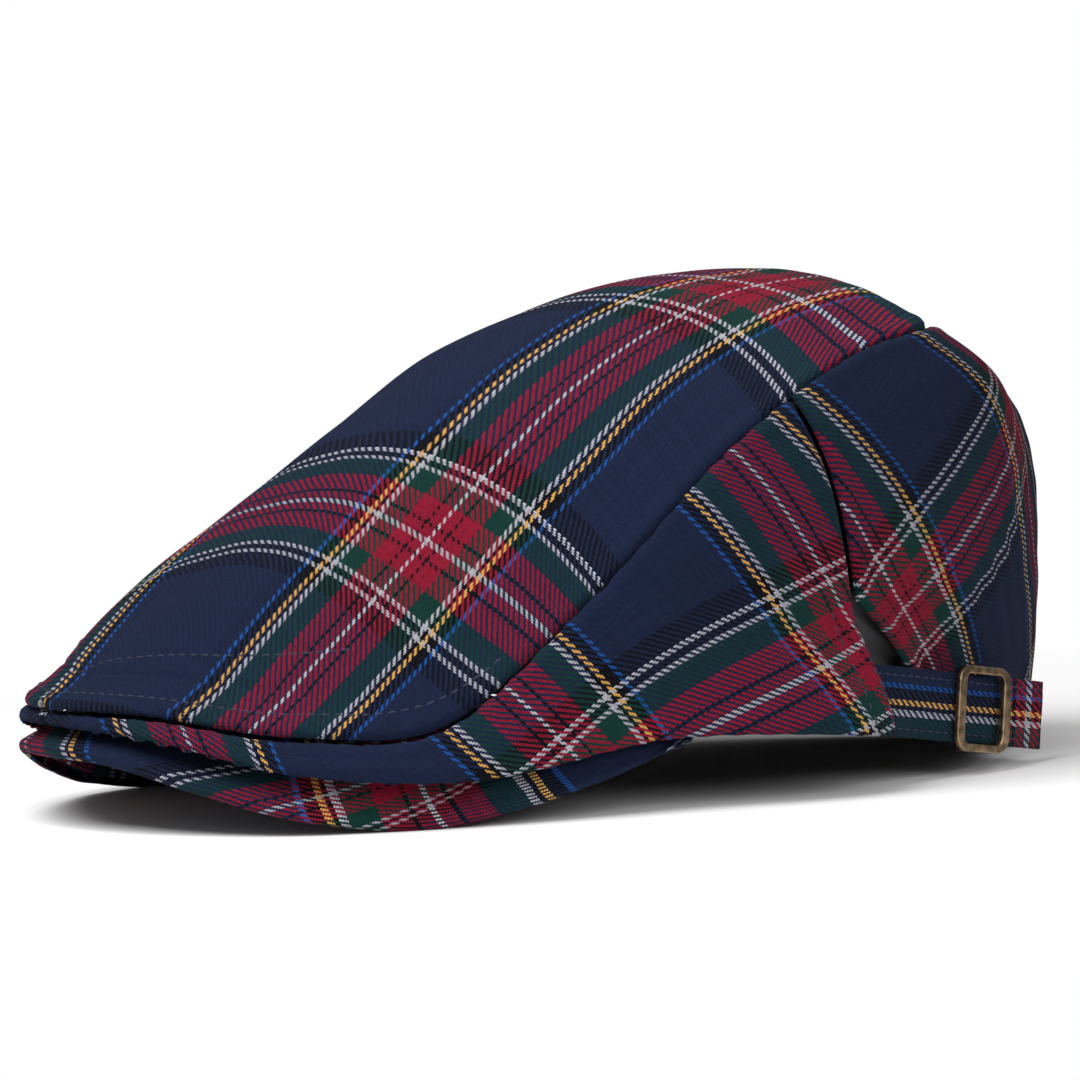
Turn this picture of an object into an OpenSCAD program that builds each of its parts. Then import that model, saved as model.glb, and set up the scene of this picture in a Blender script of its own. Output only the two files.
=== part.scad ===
// A flat cap: a stiff peak, a leaf-shaped top panel, two-piece side panels, a lining,
// a sweatband, and a strap with a slide buckle that closes a vent on the wearer's left.
// Front is -Y, the wearer's left is +X, and the cap stands on z = 0.

/* [Crown] */
// Widest part of the whole cap
cap_width = 179; // [149:1:215]
// From the peak's front edge to the back of the crown
cap_length = 277; // [230:1:333]
// From the table to the highest point of the crown
cap_height = 123; // [102:1:148]
// How far the soft crown slumps to the wearer's left, in degrees
crown_slump = 8; // [0:1:12]
// Thickness of the tartan twill
twill = 1.2; // [0.9:0.1:1.6]
// Gap left between turned-in panel edges at a seam
seam_gap = 0.3; // [0.2:0.05:0.6]

/* [Peak] */
// Thickness of the peak's stiff board
board = 1.4; // [1:0.1:2]
// Thickness of each of the peak's cloth covers
peak_cloth = 0.8; // [0.6:0.1:1.2]
// Gap between the peak's layers
peak_gap = 0.2; // [0.1:0.05:0.4]
// How far the covers reach past the board's edge
peak_hem = 1.5; // [1:0.1:3]

/* [Inside] */
// Thickness of the lining
lining = 0.5; // [0.4:0.1:1]
// Height of the sweatband
band_height = 30; // [24:1:36]
// Thickness of the sweatband
band = 0.9; // [0.6:0.1:1.4]
// Thickness of the front's fused interlining
interlining = 0.5; // [0.3:0.1:0.8]
// Width of the tapes that cover the seams inside
tape_width = 8; // [6:0.5:10]
// Thickness of the tapes
tape = 0.4; // [0.3:0.1:0.6]
// Clearance between layers inside the crown
layer_gap = 0.4; // [0.2:0.1:0.8]

/* [Strap and buckle] */
// Width of the strap
strap_width = 16.5; // [14:0.5:20]
// Thickness of the folded strap
strap = 1.2; // [0.9:0.1:1.8]
// Length of the strap in front of the buckle's bar
strap_reach = 48; // [44:1:50]
// Length of the strap's free end behind the buckle's bar
strap_tail = 27; // [20:1:30]
// Length of the buckle along the strap
buckle_length = 21; // [18:0.5:24]
// Width of the metal in the buckle's frame
buckle_rim = 3; // [2.2:0.1:3.4]
// Thickness of the buckle's metal
buckle_metal = 1.2; // [1:0.1:1.6]
// Room between the strap and the buckle's bars
strap_room = 1.3; // [1.1:0.1:1.8]
// Diameter of the bar that the tab holds
bar_d = 1.8; // [1.4:0.1:2.2]

/* [Sewing] */
// Thickness of a row of sewing thread
thread = 0.5; // [0.3:0.1:0.8]
// Distance from the top panel's edge to its edge stitching
edge_stitch = 3; // [2:0.5:5]
// Distance from the top panel's edge to the tacking that holds it to the peak
tack_stitch = 12; // [9:0.5:15]

/* [Hidden] */
// The pattern's curves below are drawn for this cap and scaled to the chosen size.
pattern_size = [179, 277, 123];
// The point that every layer lies nearer to than the layer outside it.
heart = [0, -35, -40];
// Seam between the top panel and a side panel, from the front centre to the tip.
seam_line = [
    [0, -147, 27], [34, -135, 26], [60, -111, 21], [73, -79, 23], [78, -44, 54],
    [73, -11, 90], [62, 25, 110], [44, 60, 114], [0, 69, 102]
];
// Middle of the top panel, over the same stretches.
crown_line = [
    [0, -147, 27], [0, -126, 45], [0, -101, 65], [0, -68, 87], [0, -34, 106],
    [0, 1, 117], [0, 34, 121], [0, 60, 120], [0, 69, 102]
];
// Lower edge of a side panel, from the front centre to the centre back.
rim_line = [
    [0, -147, 23.5], [38, -137, 21.5], [64, -112, 13], [78, -75, 10], [85, -34, 16],
    [87, 4, 15], [69, 46, 9], [42, 86, 3], [0, 121, 0]
];
// How far a side panel bellies out between its rim and its seam.
belly_line = [
    [0, -147, 25.5], [37, -137, 24], [64, -113, 18], [79, -80, 19], [87, -42, 42],
    [92, -5, 68], [85, 42, 84], [58, 95, 101], [0, 150, 106]
];
// Outer edge of the peak, from the front centre to the horn.
peak_line = [
    [0, -148, 19], [25, -143, 18], [45, -131, 12], [62, -113, 5], [71, -90, 1],
    [78, -67, 4], [82, -44, 10], [84, -24, 16]
];
// Where the peak meets the head opening.
root_line = [
    [0, -93, 40], [24, -90, 38], [44, -81, 34], [58, -70, 30], [67, -58, 26],
    [74, -46, 23], [79, -33, 20], [81, -20, 18]
];
// Lower edge of the sweatband, from the front centre to the centre back.
head_line = [
    [0, -90, 40], [40, -78, 35], [66, -50, 26], [79, -16, 19], [79, 14, 15],
    [65, 48, 10], [40, 84, 5], [0, 114, 2]
];
// Share by which the sweatband draws in towards its top. A taller one leans in further,
// to stay under the crown's low front.
band_lean = 0.05 + 0.014 * (band_height - 30);
// Where the buckle's bar crosses the strap, on the pattern.
buckle_place = [67.6, 63.8, 15];
// The strap's heading, turned from straight back towards the right, and its droop. It
// follows the crown's side, which turns with the cap's width and length.
strap_heading = atan(tan(21) * cap_width / pattern_size.x * pattern_size.y / cap_length);
strap_droop = 8.5;
// Share of the way round a side panel at which its front piece ends.
vent_share = 0.69;
// Share of the way up that the open vent reaches, and how far it opens at the rim.
vent_top = 0.28;
vent_open = 0.085;
// How far the front piece's free corner stands off the crown at the vent.
vent_flare = 9.5;
// Share of the way round at which the buckle's tab is sewn down.
tab_share = 0.86;
// How full the top panel is across its width: 2 is a plain arch.
arch = 2.2;
// Length of a side panel along its rim, which turns a distance into a share of it.
rim_run = cap_length + 0.38 * cap_width;
end_gap = seam_gap / 2 / rim_run;
// The top panel stops this share short of the points where its side seams meet.
top_ends = [0.006, 0.995];
// Shares of the top panel's length that the interlining covers, and of its width.
interlining_ends = [0.3, 0.56];
interlining_spread = 0.5;
// Shares of a side seam between which its tape runs.
tape_ends = [0.46, 0.97];
// Top of the lining's dome, on the pattern.
dome_top = [0, 24, 95];
// The lining's lower edge stands outside the sweatband by this factor.
lining_room = 1.02;
// The lining's dome is cut off this far up, where its gores would come to a point.
dome_cut = 0.96;
// Shares of the way round, from the centre back, of the seams between the lining's gores.
gore_front = 0.3;
gore_back = 0.75;
// Half the gap between two neighbouring gores, as a share of the way round.
gore_gap = 0.002;
// Gap between the strap's inner face and the tab's loop, and play of the bar in the loop.
tab_clear = 0.3;
bar_play = 0.1;
// Thickness of one layer of the buckle's tab.
tab_cloth = 0.8;
// The bar's centre line lies behind the strap by this much, in the strap's own frame.
bar_x = -(tab_clear + tab_cloth + bar_play + bar_d / 2);
// The buckle's rails pass the strap's edges with this gap, and are this thick.
rail_gap = 0.5;
rail = 1.5;
rail_z = strap_width / 2 + rail_gap;
// Length turned back at the strap's free end.
strap_fold = 7;
label_size = [24, 12];
// Rows of thread stand off the cloth by this much, and off the flared vent edge by more.
thread_lift = 0.1;
vent_thread_lift = 0.4;
// Distances of the two rows of thread from the vent's edge.
vent_rows = [2, 7.5];

// The point of the pattern that the origin lies under.
middle = [0.14 * crown_slump, -9.7 * cap_length / pattern_size.y, 0];

tartan_navy = "#20294a";
tartan_red = "#7a1c2c";
lining_grey = "#3a3a3e";
band_black = "#1c1c1f";
brass = "#8a6a44";
thread_navy = "#2c3350";

function unit(v) = v / norm(v);
function smooth(x) = let (c = min(max(x, 0), 1)) c * c * (3 - 2 * c);
function mix(a, b, t) = a + (b - a) * t;
function mirrored(p) = [-p.x, p.y, p.z];
function sized(p) = [
    p.x * cap_width / pattern_size.x,
    p.y * cap_length / pattern_size.y,
    p.z * cap_height / pattern_size.z
];

// The soft crown leans to the wearer's left more and more with height. The pattern's
// point is also moved here so that the origin is under the middle of the cap.
function slumped(p) =
    let (a = crown_slump * smooth((p.z / cap_height - 0.195) / 0.73))
    [p.x * cos(a) + p.z * sin(a), p.y, p.z * cos(a) - p.x * sin(a)] - middle;

// A point moved towards the heart, which is how every layer lies inside the next.
function inset(p, depth) = p - depth * unit(p - heart);

// The point a share t of the way along a smooth line through the listed points.
// A line that starts or ends on the centre plane is rounded there if asked.
function along(line, t, round_front = true, round_back = false) =
    let (
        n = len(line) - 1,
        s = min(max(t, 0), 1) * n,
        i = min(floor(s), n - 1),
        f = s - i,
        b = line[i],
        c = line[i + 1],
        a = i > 0 ? line[i - 1] : round_front ? mirrored(c) : 2 * b - c,
        d = i + 2 <= n ? line[i + 2] : round_back ? mirrored(b) : 2 * c - b
    )
    sized(0.5 * (2 * b + (c - a) * f + (2 * a - 5 * b + 4 * c - d) * f * f
        + (3 * b - 3 * c + d - a) * f * f * f));

// The top panel: t runs from its front edge to its tip, s from its right edge to its left.
function top_point(t, s) =
    let (edge = along(seam_line, t), middle = along(crown_line, t, round_front = false))
    [
        edge.x * s,
        mix(middle.y, edge.y, s * s),
        mix(middle.z, edge.z, pow(abs(s), arch))
    ];

// A side panel: u runs from the front centre to the back seam, v from rim to top seam.
function side_point(u, v, side = 1) =
    let (
        rim = along(rim_line, u, round_back = true),
        belly = along(belly_line, u),
        seam = along(seam_line, u),
        p = mix(mix(rim, belly, v), mix(belly, seam, v), v)
    )
    [side * p.x, p.y, p.z];

// The peak: w runs from its front centre to a horn, r from the head opening to its edge.
function peak_point(w, r) =
    let (
        p = mix(along(root_line, abs(w)), along(peak_line, abs(w)), r),
        camber = 1.5 * sin(180 * r) * (1 - abs(w))
    )
    [sign(w) * p.x, p.y, p.z + camber];

// The sweatband: q runs from the centre back round the right side to the front (0)
// and on round the left side to the back, h from its lower to its upper edge.
function band_point(q, h) =
    let (p = along(head_line, abs(q), round_back = true), draw_in = 1 - band_lean * h)
    [sign(q) * p.x * draw_in, p.y * draw_in, p.z + h * band_height];

// The lining's dome, from its lower edge behind the sweatband (a = 0) to its top (a = 1).
function lining_point(q, a) =
    let (
        foot = band_point(q, 0.97),
        wide = [foot.x * lining_room, foot.y * lining_room, foot.z],
        top = sized(dome_top),
        fall = mix(3, 0.7, smooth((abs(q) - 0.35) / 0.45)),
        reach = pow(cos(90 * a), fall)
    )
    [wide.x * reach, mix(top.y, wide.y, reach), mix(wide.z, top.z, sin(90 * a))];

// A closed solid between two grids of points that have the same rows and columns.
module sheet(outer, inner, flip = false) {
    rows = len(outer);
    cols = len(outer[0]);
    count = rows * cols;
    points = concat([for (r = outer) each r], [for (r = inner) each r]);
    function turned(tri) = flip ? [tri[2], tri[1], tri[0]] : tri;
    function quad(a, b, c, d) = [turned([a, b, c]), turned([a, c, d])];
    faces = [
        for (i = [0 : rows - 2]) for (j = [0 : cols - 2])
            let (a = i * cols + j, b = a + 1, c = b + cols, d = a + cols)
            each concat(quad(a, b, c, d), quad(count + d, count + c, count + b, count + a)),
        for (i = [0 : rows - 2])
            let (a = i * cols, d = a + cols, b = a + cols - 1, c = b + cols)
            each concat(quad(a, d, count + d, count + a), quad(c, b, count + b, count + c)),
        for (j = [0 : cols - 2])
            let (a = j, b = j + 1, d = (rows - 1) * cols + j, c = d + 1)
            each concat(quad(b, a, count + a, count + b), quad(d, c, count + c, count + d))
    ];
    polyhedron([for (p = points) slumped(p)], faces, convexity = 10);
}

// A sheet of the given thickness whose outer face lies at a depth under a surface.
module shell(grid, depth, thick, flip = false) {
    sheet(
        [for (row = grid) [for (p = row) inset(p, depth)]],
        [for (row = grid) [for (p = row) inset(p, depth + thick)]],
        flip
    );
}

function steps(from, to, count) = [for (i = [0 : count]) mix(from, to, i / count)];

module top_panel() {
    edge = 1 - seam_gap / cap_width;
    grid = [
        for (t = steps(top_ends[0], top_ends[1], 34))
            [for (s = steps(-edge, edge, 22)) top_point(t, s)]
    ];
    color(tartan_navy) shell(grid, 0, twill, true);
}

// How far round the rear piece starts at a height v: it draws back below the vent's top.
function rear_start(v) = vent_share + end_gap + vent_open * max(0, 1 - v / vent_top);

// The front piece's free corner swings outwards beside the vent.
function flared(p, u, v) =
    let (
        push = vent_flare * smooth((u / vent_share - 0.75) / 0.25) * smooth(1 - v / vent_top)
    )
    p + push * [cos(strap_heading), sin(strap_heading), 0];

seam_v = 1 - seam_gap / cap_height;

module front_piece(side, flare) {
    grid = [
        for (u = steps(end_gap, vent_share - end_gap, 26)) [
            for (v = steps(0, seam_v, 8))
                let (p = side_point(u, v, side))
                flare ? flared(p, u, v) : p
        ]
    ];
    shell(grid, 0, twill, side < 0);
}

module rear_piece(side, vented) {
    grid = [
        for (i = [0 : 16]) [
            for (v = steps(0, seam_v, 12))
                let (start = vented ? rear_start(v) : vent_share + end_gap)
                side_point(mix(start, 1 - end_gap, i / 16), v, side)
        ]
    ];
    shell(grid, 0, twill, side < 0);
}

module left_front_panel() { color(tartan_navy) front_piece(1, true); }
module left_rear_panel() { color(tartan_red) rear_piece(1, true); }
module right_front_panel() { color(tartan_navy) front_piece(-1, false); }
module right_rear_panel() { color(tartan_red) rear_piece(-1, false); }

board_depth = peak_cloth + peak_gap;
under_depth = board_depth + board + peak_gap;
peak_thick = under_depth + peak_cloth;
peak_depth = norm(peak_point(0, 1) - peak_point(0, 0));
board_edge = 1 - peak_hem / peak_depth;
// The under cover stops this share short of the turned-down hem, and the board twice it.
hem_clear = 0.35 / peak_depth;
peak_grid_w = steps(-1, 1, 30);
peak_rings = [0, 0.25, 0.5, 0.75];

// The top cover turns down over the board's edge and meets the under cover's face.
module peak_top_cover() {
    rings = concat(peak_rings, [board_edge, 1]);
    outer = [for (w = peak_grid_w) [for (r = rings) peak_point(w, r)]];
    inner = [
        for (w = peak_grid_w) [
            for (r = rings)
                inset(peak_point(w, min(r, 0.5 + board_edge / 2)), r < 1 ? peak_cloth : peak_thick)
        ]
    ];
    color(tartan_red) sheet(outer, inner, true);
}

module peak_layer(edge, depth, thick) {
    grid = [for (w = peak_grid_w) [for (r = concat(peak_rings, [edge])) peak_point(w, r)]];
    shell(grid, depth, thick, true);
}

module peak_board() {
    color("#d8d8d2") peak_layer(board_edge - 2 * hem_clear, board_depth, board);
}

module peak_under_cover() {
    color(tartan_navy) peak_layer(board_edge - hem_clear, under_depth, peak_cloth);
}

module front_interlining() {
    grid = [
        for (t = steps(interlining_ends[0], interlining_ends[1], 10))
            [for (s = steps(-interlining_spread, interlining_spread, 12)) top_point(t, s)]
    ];
    color("#c9c6ba") shell(grid, twill + layer_gap, interlining, true);
}

// Rows of points up the lining's dome, between two places round it.
function gore_grid(from, to, count) = [
    for (q = steps(from + gore_gap, to - gore_gap, count))
        [for (a = steps(0, dome_cut, 8)) lining_point(q, a)]
];

module lining_front() { color(lining_grey) shell(gore_grid(-gore_front, gore_front, 18), 0, lining); }
module lining_left() { color(lining_grey) shell(gore_grid(gore_front, gore_back, 12), 0, lining); }
module lining_right() { color(lining_grey) shell(gore_grid(-gore_back, -gore_front, 12), 0, lining); }

module lining_back() {
    left = gore_grid(gore_back, 1, 6);
    right = gore_grid(-1, -gore_back, 6);
    color(lining_grey) shell(concat(left, right), 0, lining);
}

function band_grid(low, high, levels) =
    [for (q = steps(-0.998, 0.998, 48)) [for (h = steps(low, high, levels)) band_point(q, h)]];

module sweatband() { color(band_black) shell(band_grid(0, 1, 2), 0, band); }

module sweatband_binding() {
    color(band_black) shell(band_grid(0.02, 3 / band_height, 1), band + layer_gap / 2, tape);
}

// A tape over the inside of a top seam: its middle is on the seam.
module side_tape(side) {
    reach = tape_width / 2;
    grid = [
        for (u = steps(tape_ends[0], tape_ends[1], 22))
            let (
                edge = along(seam_line, u),
                down = reach / norm(edge - along(rim_line, u)),
                across = min(0.5, reach / max(edge.x, 1))
            )
            [side_point(u, 1 - down, side), side_point(u, 1, side), top_point(u, side * (1 - across))]
    ];
    color(lining_grey) shell(grid, twill + layer_gap, tape, side < 0);
}

module left_seam_tape() { side_tape(1); }
module right_seam_tape() { side_tape(-1); }

module back_seam_tape() {
    away = tape_width / 2 / rim_run;
    grid = [
        for (v = steps(0.1, 0.9, 14))
            [side_point(1 - away, v, 1), side_point(1, v, 1), side_point(1 - away, v, -1)]
    ];
    color(lining_grey) shell(grid, twill + 2 * layer_gap, tape, true);
}

// The lining cloth that closes the vent from behind.
module vent_facing() {
    grid = [
        for (u = steps(vent_share - 0.03, vent_share + 0.13, 8))
            [for (v = steps(0.03, vent_top + 0.04, 5)) side_point(u, v)]
    ];
    color(lining_grey) shell(grid, twill + layer_gap, lining);
}

// The strap's own frame: +Y runs back along the strap, +X faces outwards, and the
// origin is on the strap's inner face where the buckle's bar crosses behind it.
module on_strap() {
    translate(sized(buckle_place) - middle)
        rotate([0, 0, strap_heading])
            rotate([-strap_droop, 0, 0])
                children();
}

// A point of the crown as seen in the strap's frame.
function in_strap(p) =
    let (
        d = p - sized(buckle_place),
        x = d.x * cos(strap_heading) + d.y * sin(strap_heading),
        y = d.y * cos(strap_heading) - d.x * sin(strap_heading)
    )
    [
        x,
        y * cos(strap_droop) - d.z * sin(strap_droop),
        y * sin(strap_droop) + d.z * cos(strap_droop)
    ];

module strap() {
    color(tartan_navy) on_strap() {
        translate([0, -strap_reach, -strap_width / 2])
            cube([strap, strap_reach + strap_tail, strap_width]);
        // The free end is turned back on itself.
        translate([-strap, strap_tail - strap_fold, -strap_width / 2])
            cube([strap, strap_fold, strap_width]);
    }
}

// One row of thread near each edge of the strap's outer face.
module strap_stitching() {
    edge = 2;
    for (z = [-1, 1])
        color(thread_navy) on_strap()
            translate([strap, -strap_reach + 1, z * (strap_width / 2 - edge) - thread / 2])
                cube([thread / 2, strap_reach + strap_tail - 2, thread]);
}

// A doubled tab of tartan: its loop holds the bar and its end is sewn to the rear piece.
module buckle_tab() {
    tab_width = strap_width - 2;
    loop_r = bar_d / 2 + bar_play + tab_cloth;
    sewn = in_strap(side_point(tab_share, 0.1));
    target = [sewn.x + tab_cloth + 0.6, sewn.y];
    turn = atan2(target.y, target.x - bar_x);
    run = norm([target.x - bar_x, target.y]);
    color(tartan_red) on_strap() translate([0, 0, -tab_width / 2]) linear_extrude(tab_width)
        translate([bar_x, 0]) difference() {
            union() {
                circle(loop_r);
                rotate(turn) translate([0, -tab_cloth]) square([run, 2 * tab_cloth]);
            }
            circle(bar_d / 2 + bar_play);
        }
}

// The frame: a flat outer bar at each end, and two rails whose ears carry the centre bar.
module buckle_frame() {
    near = strap + strap_room;
    half = buckle_length / 2;
    ear = bar_d / 2 + 1;
    color(brass) on_strap() {
        for (end = [-1, 1])
            translate([near, end > 0 ? half - buckle_rim : -half, -rail_z - rail])
                cube([buckle_metal, buckle_rim, 2 * (rail_z + rail)]);
        for (z = [-rail_z - rail, rail_z]) translate([0, 0, z]) difference() {
            linear_extrude(rail) union() {
                translate([near, -half]) square([buckle_metal, buckle_length]);
                polygon([
                    [near + 0.1, -half + buckle_rim], [near + 0.1, half - buckle_rim],
                    [bar_x, ear], [bar_x, -ear]
                ]);
                translate([bar_x, 0]) circle(ear);
            }
            translate([bar_x, 0, -1]) cylinder(d = bar_d, h = rail + 2);
        }
    }
}

module buckle_bar() {
    length = 2 * (rail_z + rail);
    color(brass) on_strap() translate([bar_x, 0, -length / 2]) cylinder(d = bar_d, h = length);
}

// A point at a given distance inside the top panel's edge, q counted from the front centre.
function edge_run(q, distance) =
    let (
        first = norm(sized(crown_line[1]) - sized(crown_line[0])),
        start = distance / first / (len(crown_line) - 1),
        t = norm([q, start]),
        s = abs(q) / t * (1 - distance / along(seam_line, t).x)
    )
    top_point(t, q < 0 ? -s : s);

module edge_row(distance, reach) {
    grid = [
        for (q = steps(-reach, reach, 44))
            [edge_run(q, distance), edge_run(q, distance + thread)]
    ];
    color(thread_navy) shell(grid, -thread / 2 - thread_lift, thread / 2);
}

module front_edge_stitching() { edge_row(edge_stitch, 0.42); }
module peak_tacking() { edge_row(tack_stitch, 0.3); }

// Two rows of thread beside the front piece's free edge.
module vent_stitching() {
    for (row = vent_rows) {
        grid = [
            for (v = steps(0.02, vent_top, 14)) [
                for (away = [row + thread, row])
                    let (u = vent_share - away / rim_run)
                    flared(side_point(u, v), u, v)
            ]
        ];
        color(thread_navy) shell(grid, -thread / 2 - vent_thread_lift, thread / 2, true);
    }
}

// A blank loop label sewn inside the sweatband at the back.
module size_label() {
    share = label_size.x / rim_run / 2;
    grid = [
        for (q = steps(0.9 - share, 0.9 + share, 5))
            [for (h = [0.35, 0.35 + label_size.y / band_height]) band_point(q, h)]
    ];
    color("white") shell(grid, band + layer_gap, tape);
}

top_panel();
left_front_panel();
left_rear_panel();
right_front_panel();
right_rear_panel();
peak_top_cover();
peak_board();
peak_under_cover();
front_interlining();
lining_front();
lining_left();
lining_right();
lining_back();
sweatband();
sweatband_binding();
left_seam_tape();
right_seam_tape();
back_seam_tape();
vent_facing();
strap();
strap_stitching();
buckle_tab();
buckle_frame();
buckle_bar();
front_edge_stitching();
peak_tacking();
vent_stitching();
size_label();
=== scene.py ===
"""Builds the look of a tartan flat cap over its CAD frame: cloth panels, peak, lining,
sweatband, strap, slide buckle, stitching and a small studio."""

import bpy
import numpy as np
from bpy.props import FloatProperty, IntProperty, PointerProperty
from mathutils import Matrix, Vector


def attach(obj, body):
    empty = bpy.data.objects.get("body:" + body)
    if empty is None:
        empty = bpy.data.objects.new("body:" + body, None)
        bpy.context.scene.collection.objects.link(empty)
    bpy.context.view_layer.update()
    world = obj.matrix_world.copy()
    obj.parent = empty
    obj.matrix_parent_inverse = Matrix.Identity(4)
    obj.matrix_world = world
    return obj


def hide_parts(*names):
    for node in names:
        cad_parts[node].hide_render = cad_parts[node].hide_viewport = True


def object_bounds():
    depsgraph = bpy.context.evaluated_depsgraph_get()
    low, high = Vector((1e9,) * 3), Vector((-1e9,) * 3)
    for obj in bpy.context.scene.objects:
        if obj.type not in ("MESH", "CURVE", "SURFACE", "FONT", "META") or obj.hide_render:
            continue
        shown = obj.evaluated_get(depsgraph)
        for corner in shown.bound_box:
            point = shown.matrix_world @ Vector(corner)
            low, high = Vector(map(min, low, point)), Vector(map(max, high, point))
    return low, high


bl_info = {
    "name": "Tartan Flat Cap",
    "version": (1, 0, 0),
    "blender": (4, 5, 0),
    "location": "View3D > Sidebar > Cap",
    "description": "Builds a tartan flat cap with a buckled strap, and a studio round it",
    "category": "Object",
}

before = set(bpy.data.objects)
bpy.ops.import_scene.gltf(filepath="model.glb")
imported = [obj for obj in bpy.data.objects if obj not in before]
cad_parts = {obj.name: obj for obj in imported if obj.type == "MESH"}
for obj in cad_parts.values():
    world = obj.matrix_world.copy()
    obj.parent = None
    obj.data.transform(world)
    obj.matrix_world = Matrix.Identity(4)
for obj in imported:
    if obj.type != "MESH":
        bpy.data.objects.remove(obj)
START_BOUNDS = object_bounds()
MM = 0.001
CLOTH_UV = "cloth"



# The cap's pattern, in millimetres: front is -Y, the wearer's left is +X. The curves are the
# ones that the CAD's panels are drawn with, and are scaled to the frame's own size.
DRAWN = (180.4, 276.6, 123.1)
HEART = np.array([0.0, -35.0, -40.0])
SLUMP = np.radians(8.0)
MIDDLE = np.array([1.12, -9.7, 0.0])
SEAM_LINE = [
    (0, -147, 27), (34, -135, 26), (60, -111, 21), (73, -79, 23), (78, -44, 54),
    (73, -11, 90), (62, 25, 110), (44, 60, 114), (0, 69, 102),
]
CROWN_LINE = [
    (0, -147, 27), (0, -126, 45), (0, -101, 65), (0, -68, 87), (0, -34, 106),
    (0, 1, 117), (0, 34, 121), (0, 60, 120), (0, 69, 102),
]
RIM_LINE = [
    (0, -147, 23.5), (38, -137, 21.5), (64, -112, 13), (78, -75, 10), (85, -34, 16),
    (87, 4, 15), (69, 46, 9), (42, 86, 3), (0, 121, 0),
]
BELLY_LINE = [
    (0, -147, 25.5), (37, -137, 24), (64, -113, 18), (79, -80, 19), (87, -42, 42),
    (92, -5, 68), (85, 42, 84), (58, 95, 101), (0, 150, 106),
]
PEAK_LINE = [
    (0, -148, 19), (25, -143, 18), (45, -131, 12), (62, -113, 5), (71, -90, 1),
    (78, -67, 4), (82, -44, 10), (84, -24, 16),
]
ROOT_LINE = [
    (0, -93, 40), (24, -90, 38), (44, -81, 34), (58, -70, 30), (67, -58, 26),
    (74, -46, 23), (79, -33, 20), (81, -20, 18),
]
HEAD_LINE = [
    (0, -90, 40), (40, -78, 35), (66, -50, 26), (79, -16, 19), (79, 14, 15),
    (65, 48, 10), (40, 84, 5), (0, 114, 2),
]

def smooth(x):
    """0 below 0, 1 above 1, and an S-curve between them."""
    x = np.clip(x, 0.0, 1.0)
    return x * x * (3 - 2 * x)


def mix(a, b, t):
    """A blend from a to b; points are blended coordinate by coordinate."""
    if np.ndim(a) > np.ndim(t):
        t = np.asarray(t)[..., None]
    return a + (b - a) * t


def along(line, t, round_front=True, round_back=False):
    """Points at the shares t of a smooth line through the listed ones."""
    p = np.array(line, float)
    over = np.array([-1.0, 1.0, 1.0])
    before = p[1] * over if round_front else 2 * p[0] - p[1]
    after = p[-2] * over if round_back else 2 * p[-1] - p[-2]
    p = np.vstack([before, p, after])
    s = np.clip(t, 0, 1) * (len(line) - 1)
    i = np.minimum(s.astype(int), len(line) - 2)
    f = (s - i)[..., None]
    a, b, c, d = p[i], p[i + 1], p[i + 2], p[i + 3]
    return 0.5 * (2 * b + (c - a) * f + (2 * a - 5 * b + 4 * c - d) * f**2 + (3 * b - 3 * c + d - a) * f**3)


def slumped(p):
    """The crown leans to the wearer's left with height, and the origin goes under its middle."""
    a = SLUMP * smooth((p[..., 2] / DRAWN[2] - 0.195) / 0.73)
    x = p[..., 0] * np.cos(a) + p[..., 2] * np.sin(a)
    z = p[..., 2] * np.cos(a) - p[..., 0] * np.sin(a)
    return np.stack([x, p[..., 1], z], -1) - MIDDLE


def top_point(t, s):
    """The top panel: t from its front edge to its tip, s from its right edge to its left."""
    edge = along(SEAM_LINE, t)
    middle = along(CROWN_LINE, t, round_front=False)
    y = mix(middle[..., 1], edge[..., 1], s * s)
    z = mix(middle[..., 2], edge[..., 2], np.abs(s) ** 2.2)
    return np.stack([edge[..., 0] * s, y, z], -1)


def side_point(u, v, side=1):
    """A side panel: u from the front centre to the back seam, v from rim to top seam."""
    rim = along(RIM_LINE, u, round_back=True)
    belly = along(BELLY_LINE, u)
    seam = along(SEAM_LINE, u)
    p = mix(mix(rim, belly, v), mix(belly, seam, v), v)
    return p * np.array([side, 1.0, 1.0])


def peak_point(w, r):
    """The peak: w from its front centre to a horn, r from the head opening to its edge."""
    p = mix(along(ROOT_LINE, np.abs(w)), along(PEAK_LINE, np.abs(w)), r)
    p[..., 0] *= np.sign(w)
    p[..., 2] += 1.5 * np.sin(np.pi * r) * (1 - np.abs(w))
    return p


def band_point(q, h, height=30.0):
    """The sweatband: q round from the centre back (-1) by the front (0), h up from its lower edge."""
    p = along(HEAD_LINE, np.abs(q), round_back=True)
    x = np.sign(q) * p[..., 0] * (1 - 0.05 * h)
    return np.stack([x, p[..., 1] * (1 - 0.05 * h), p[..., 2] + h * height], -1)


def lining_point(q, a):
    """The lining's dome, from behind the sweatband (a = 0) to its top (a = 1)."""
    foot = band_point(q, np.full_like(q, 0.97)) * np.array([1.02, 1.02, 1.0])
    fall = mix(3.0, 0.7, smooth((np.abs(q) - 0.35) / 0.45))
    reach = np.cos(np.pi / 2 * a) ** fall
    y = 24 + (foot[..., 1] - 24) * reach
    z = foot[..., 2] + (95 - foot[..., 2]) * np.sin(np.pi / 2 * a)
    return np.stack([foot[..., 0] * reach, y, z], -1)


# ---------------------------------------------------------------- settings


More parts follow.
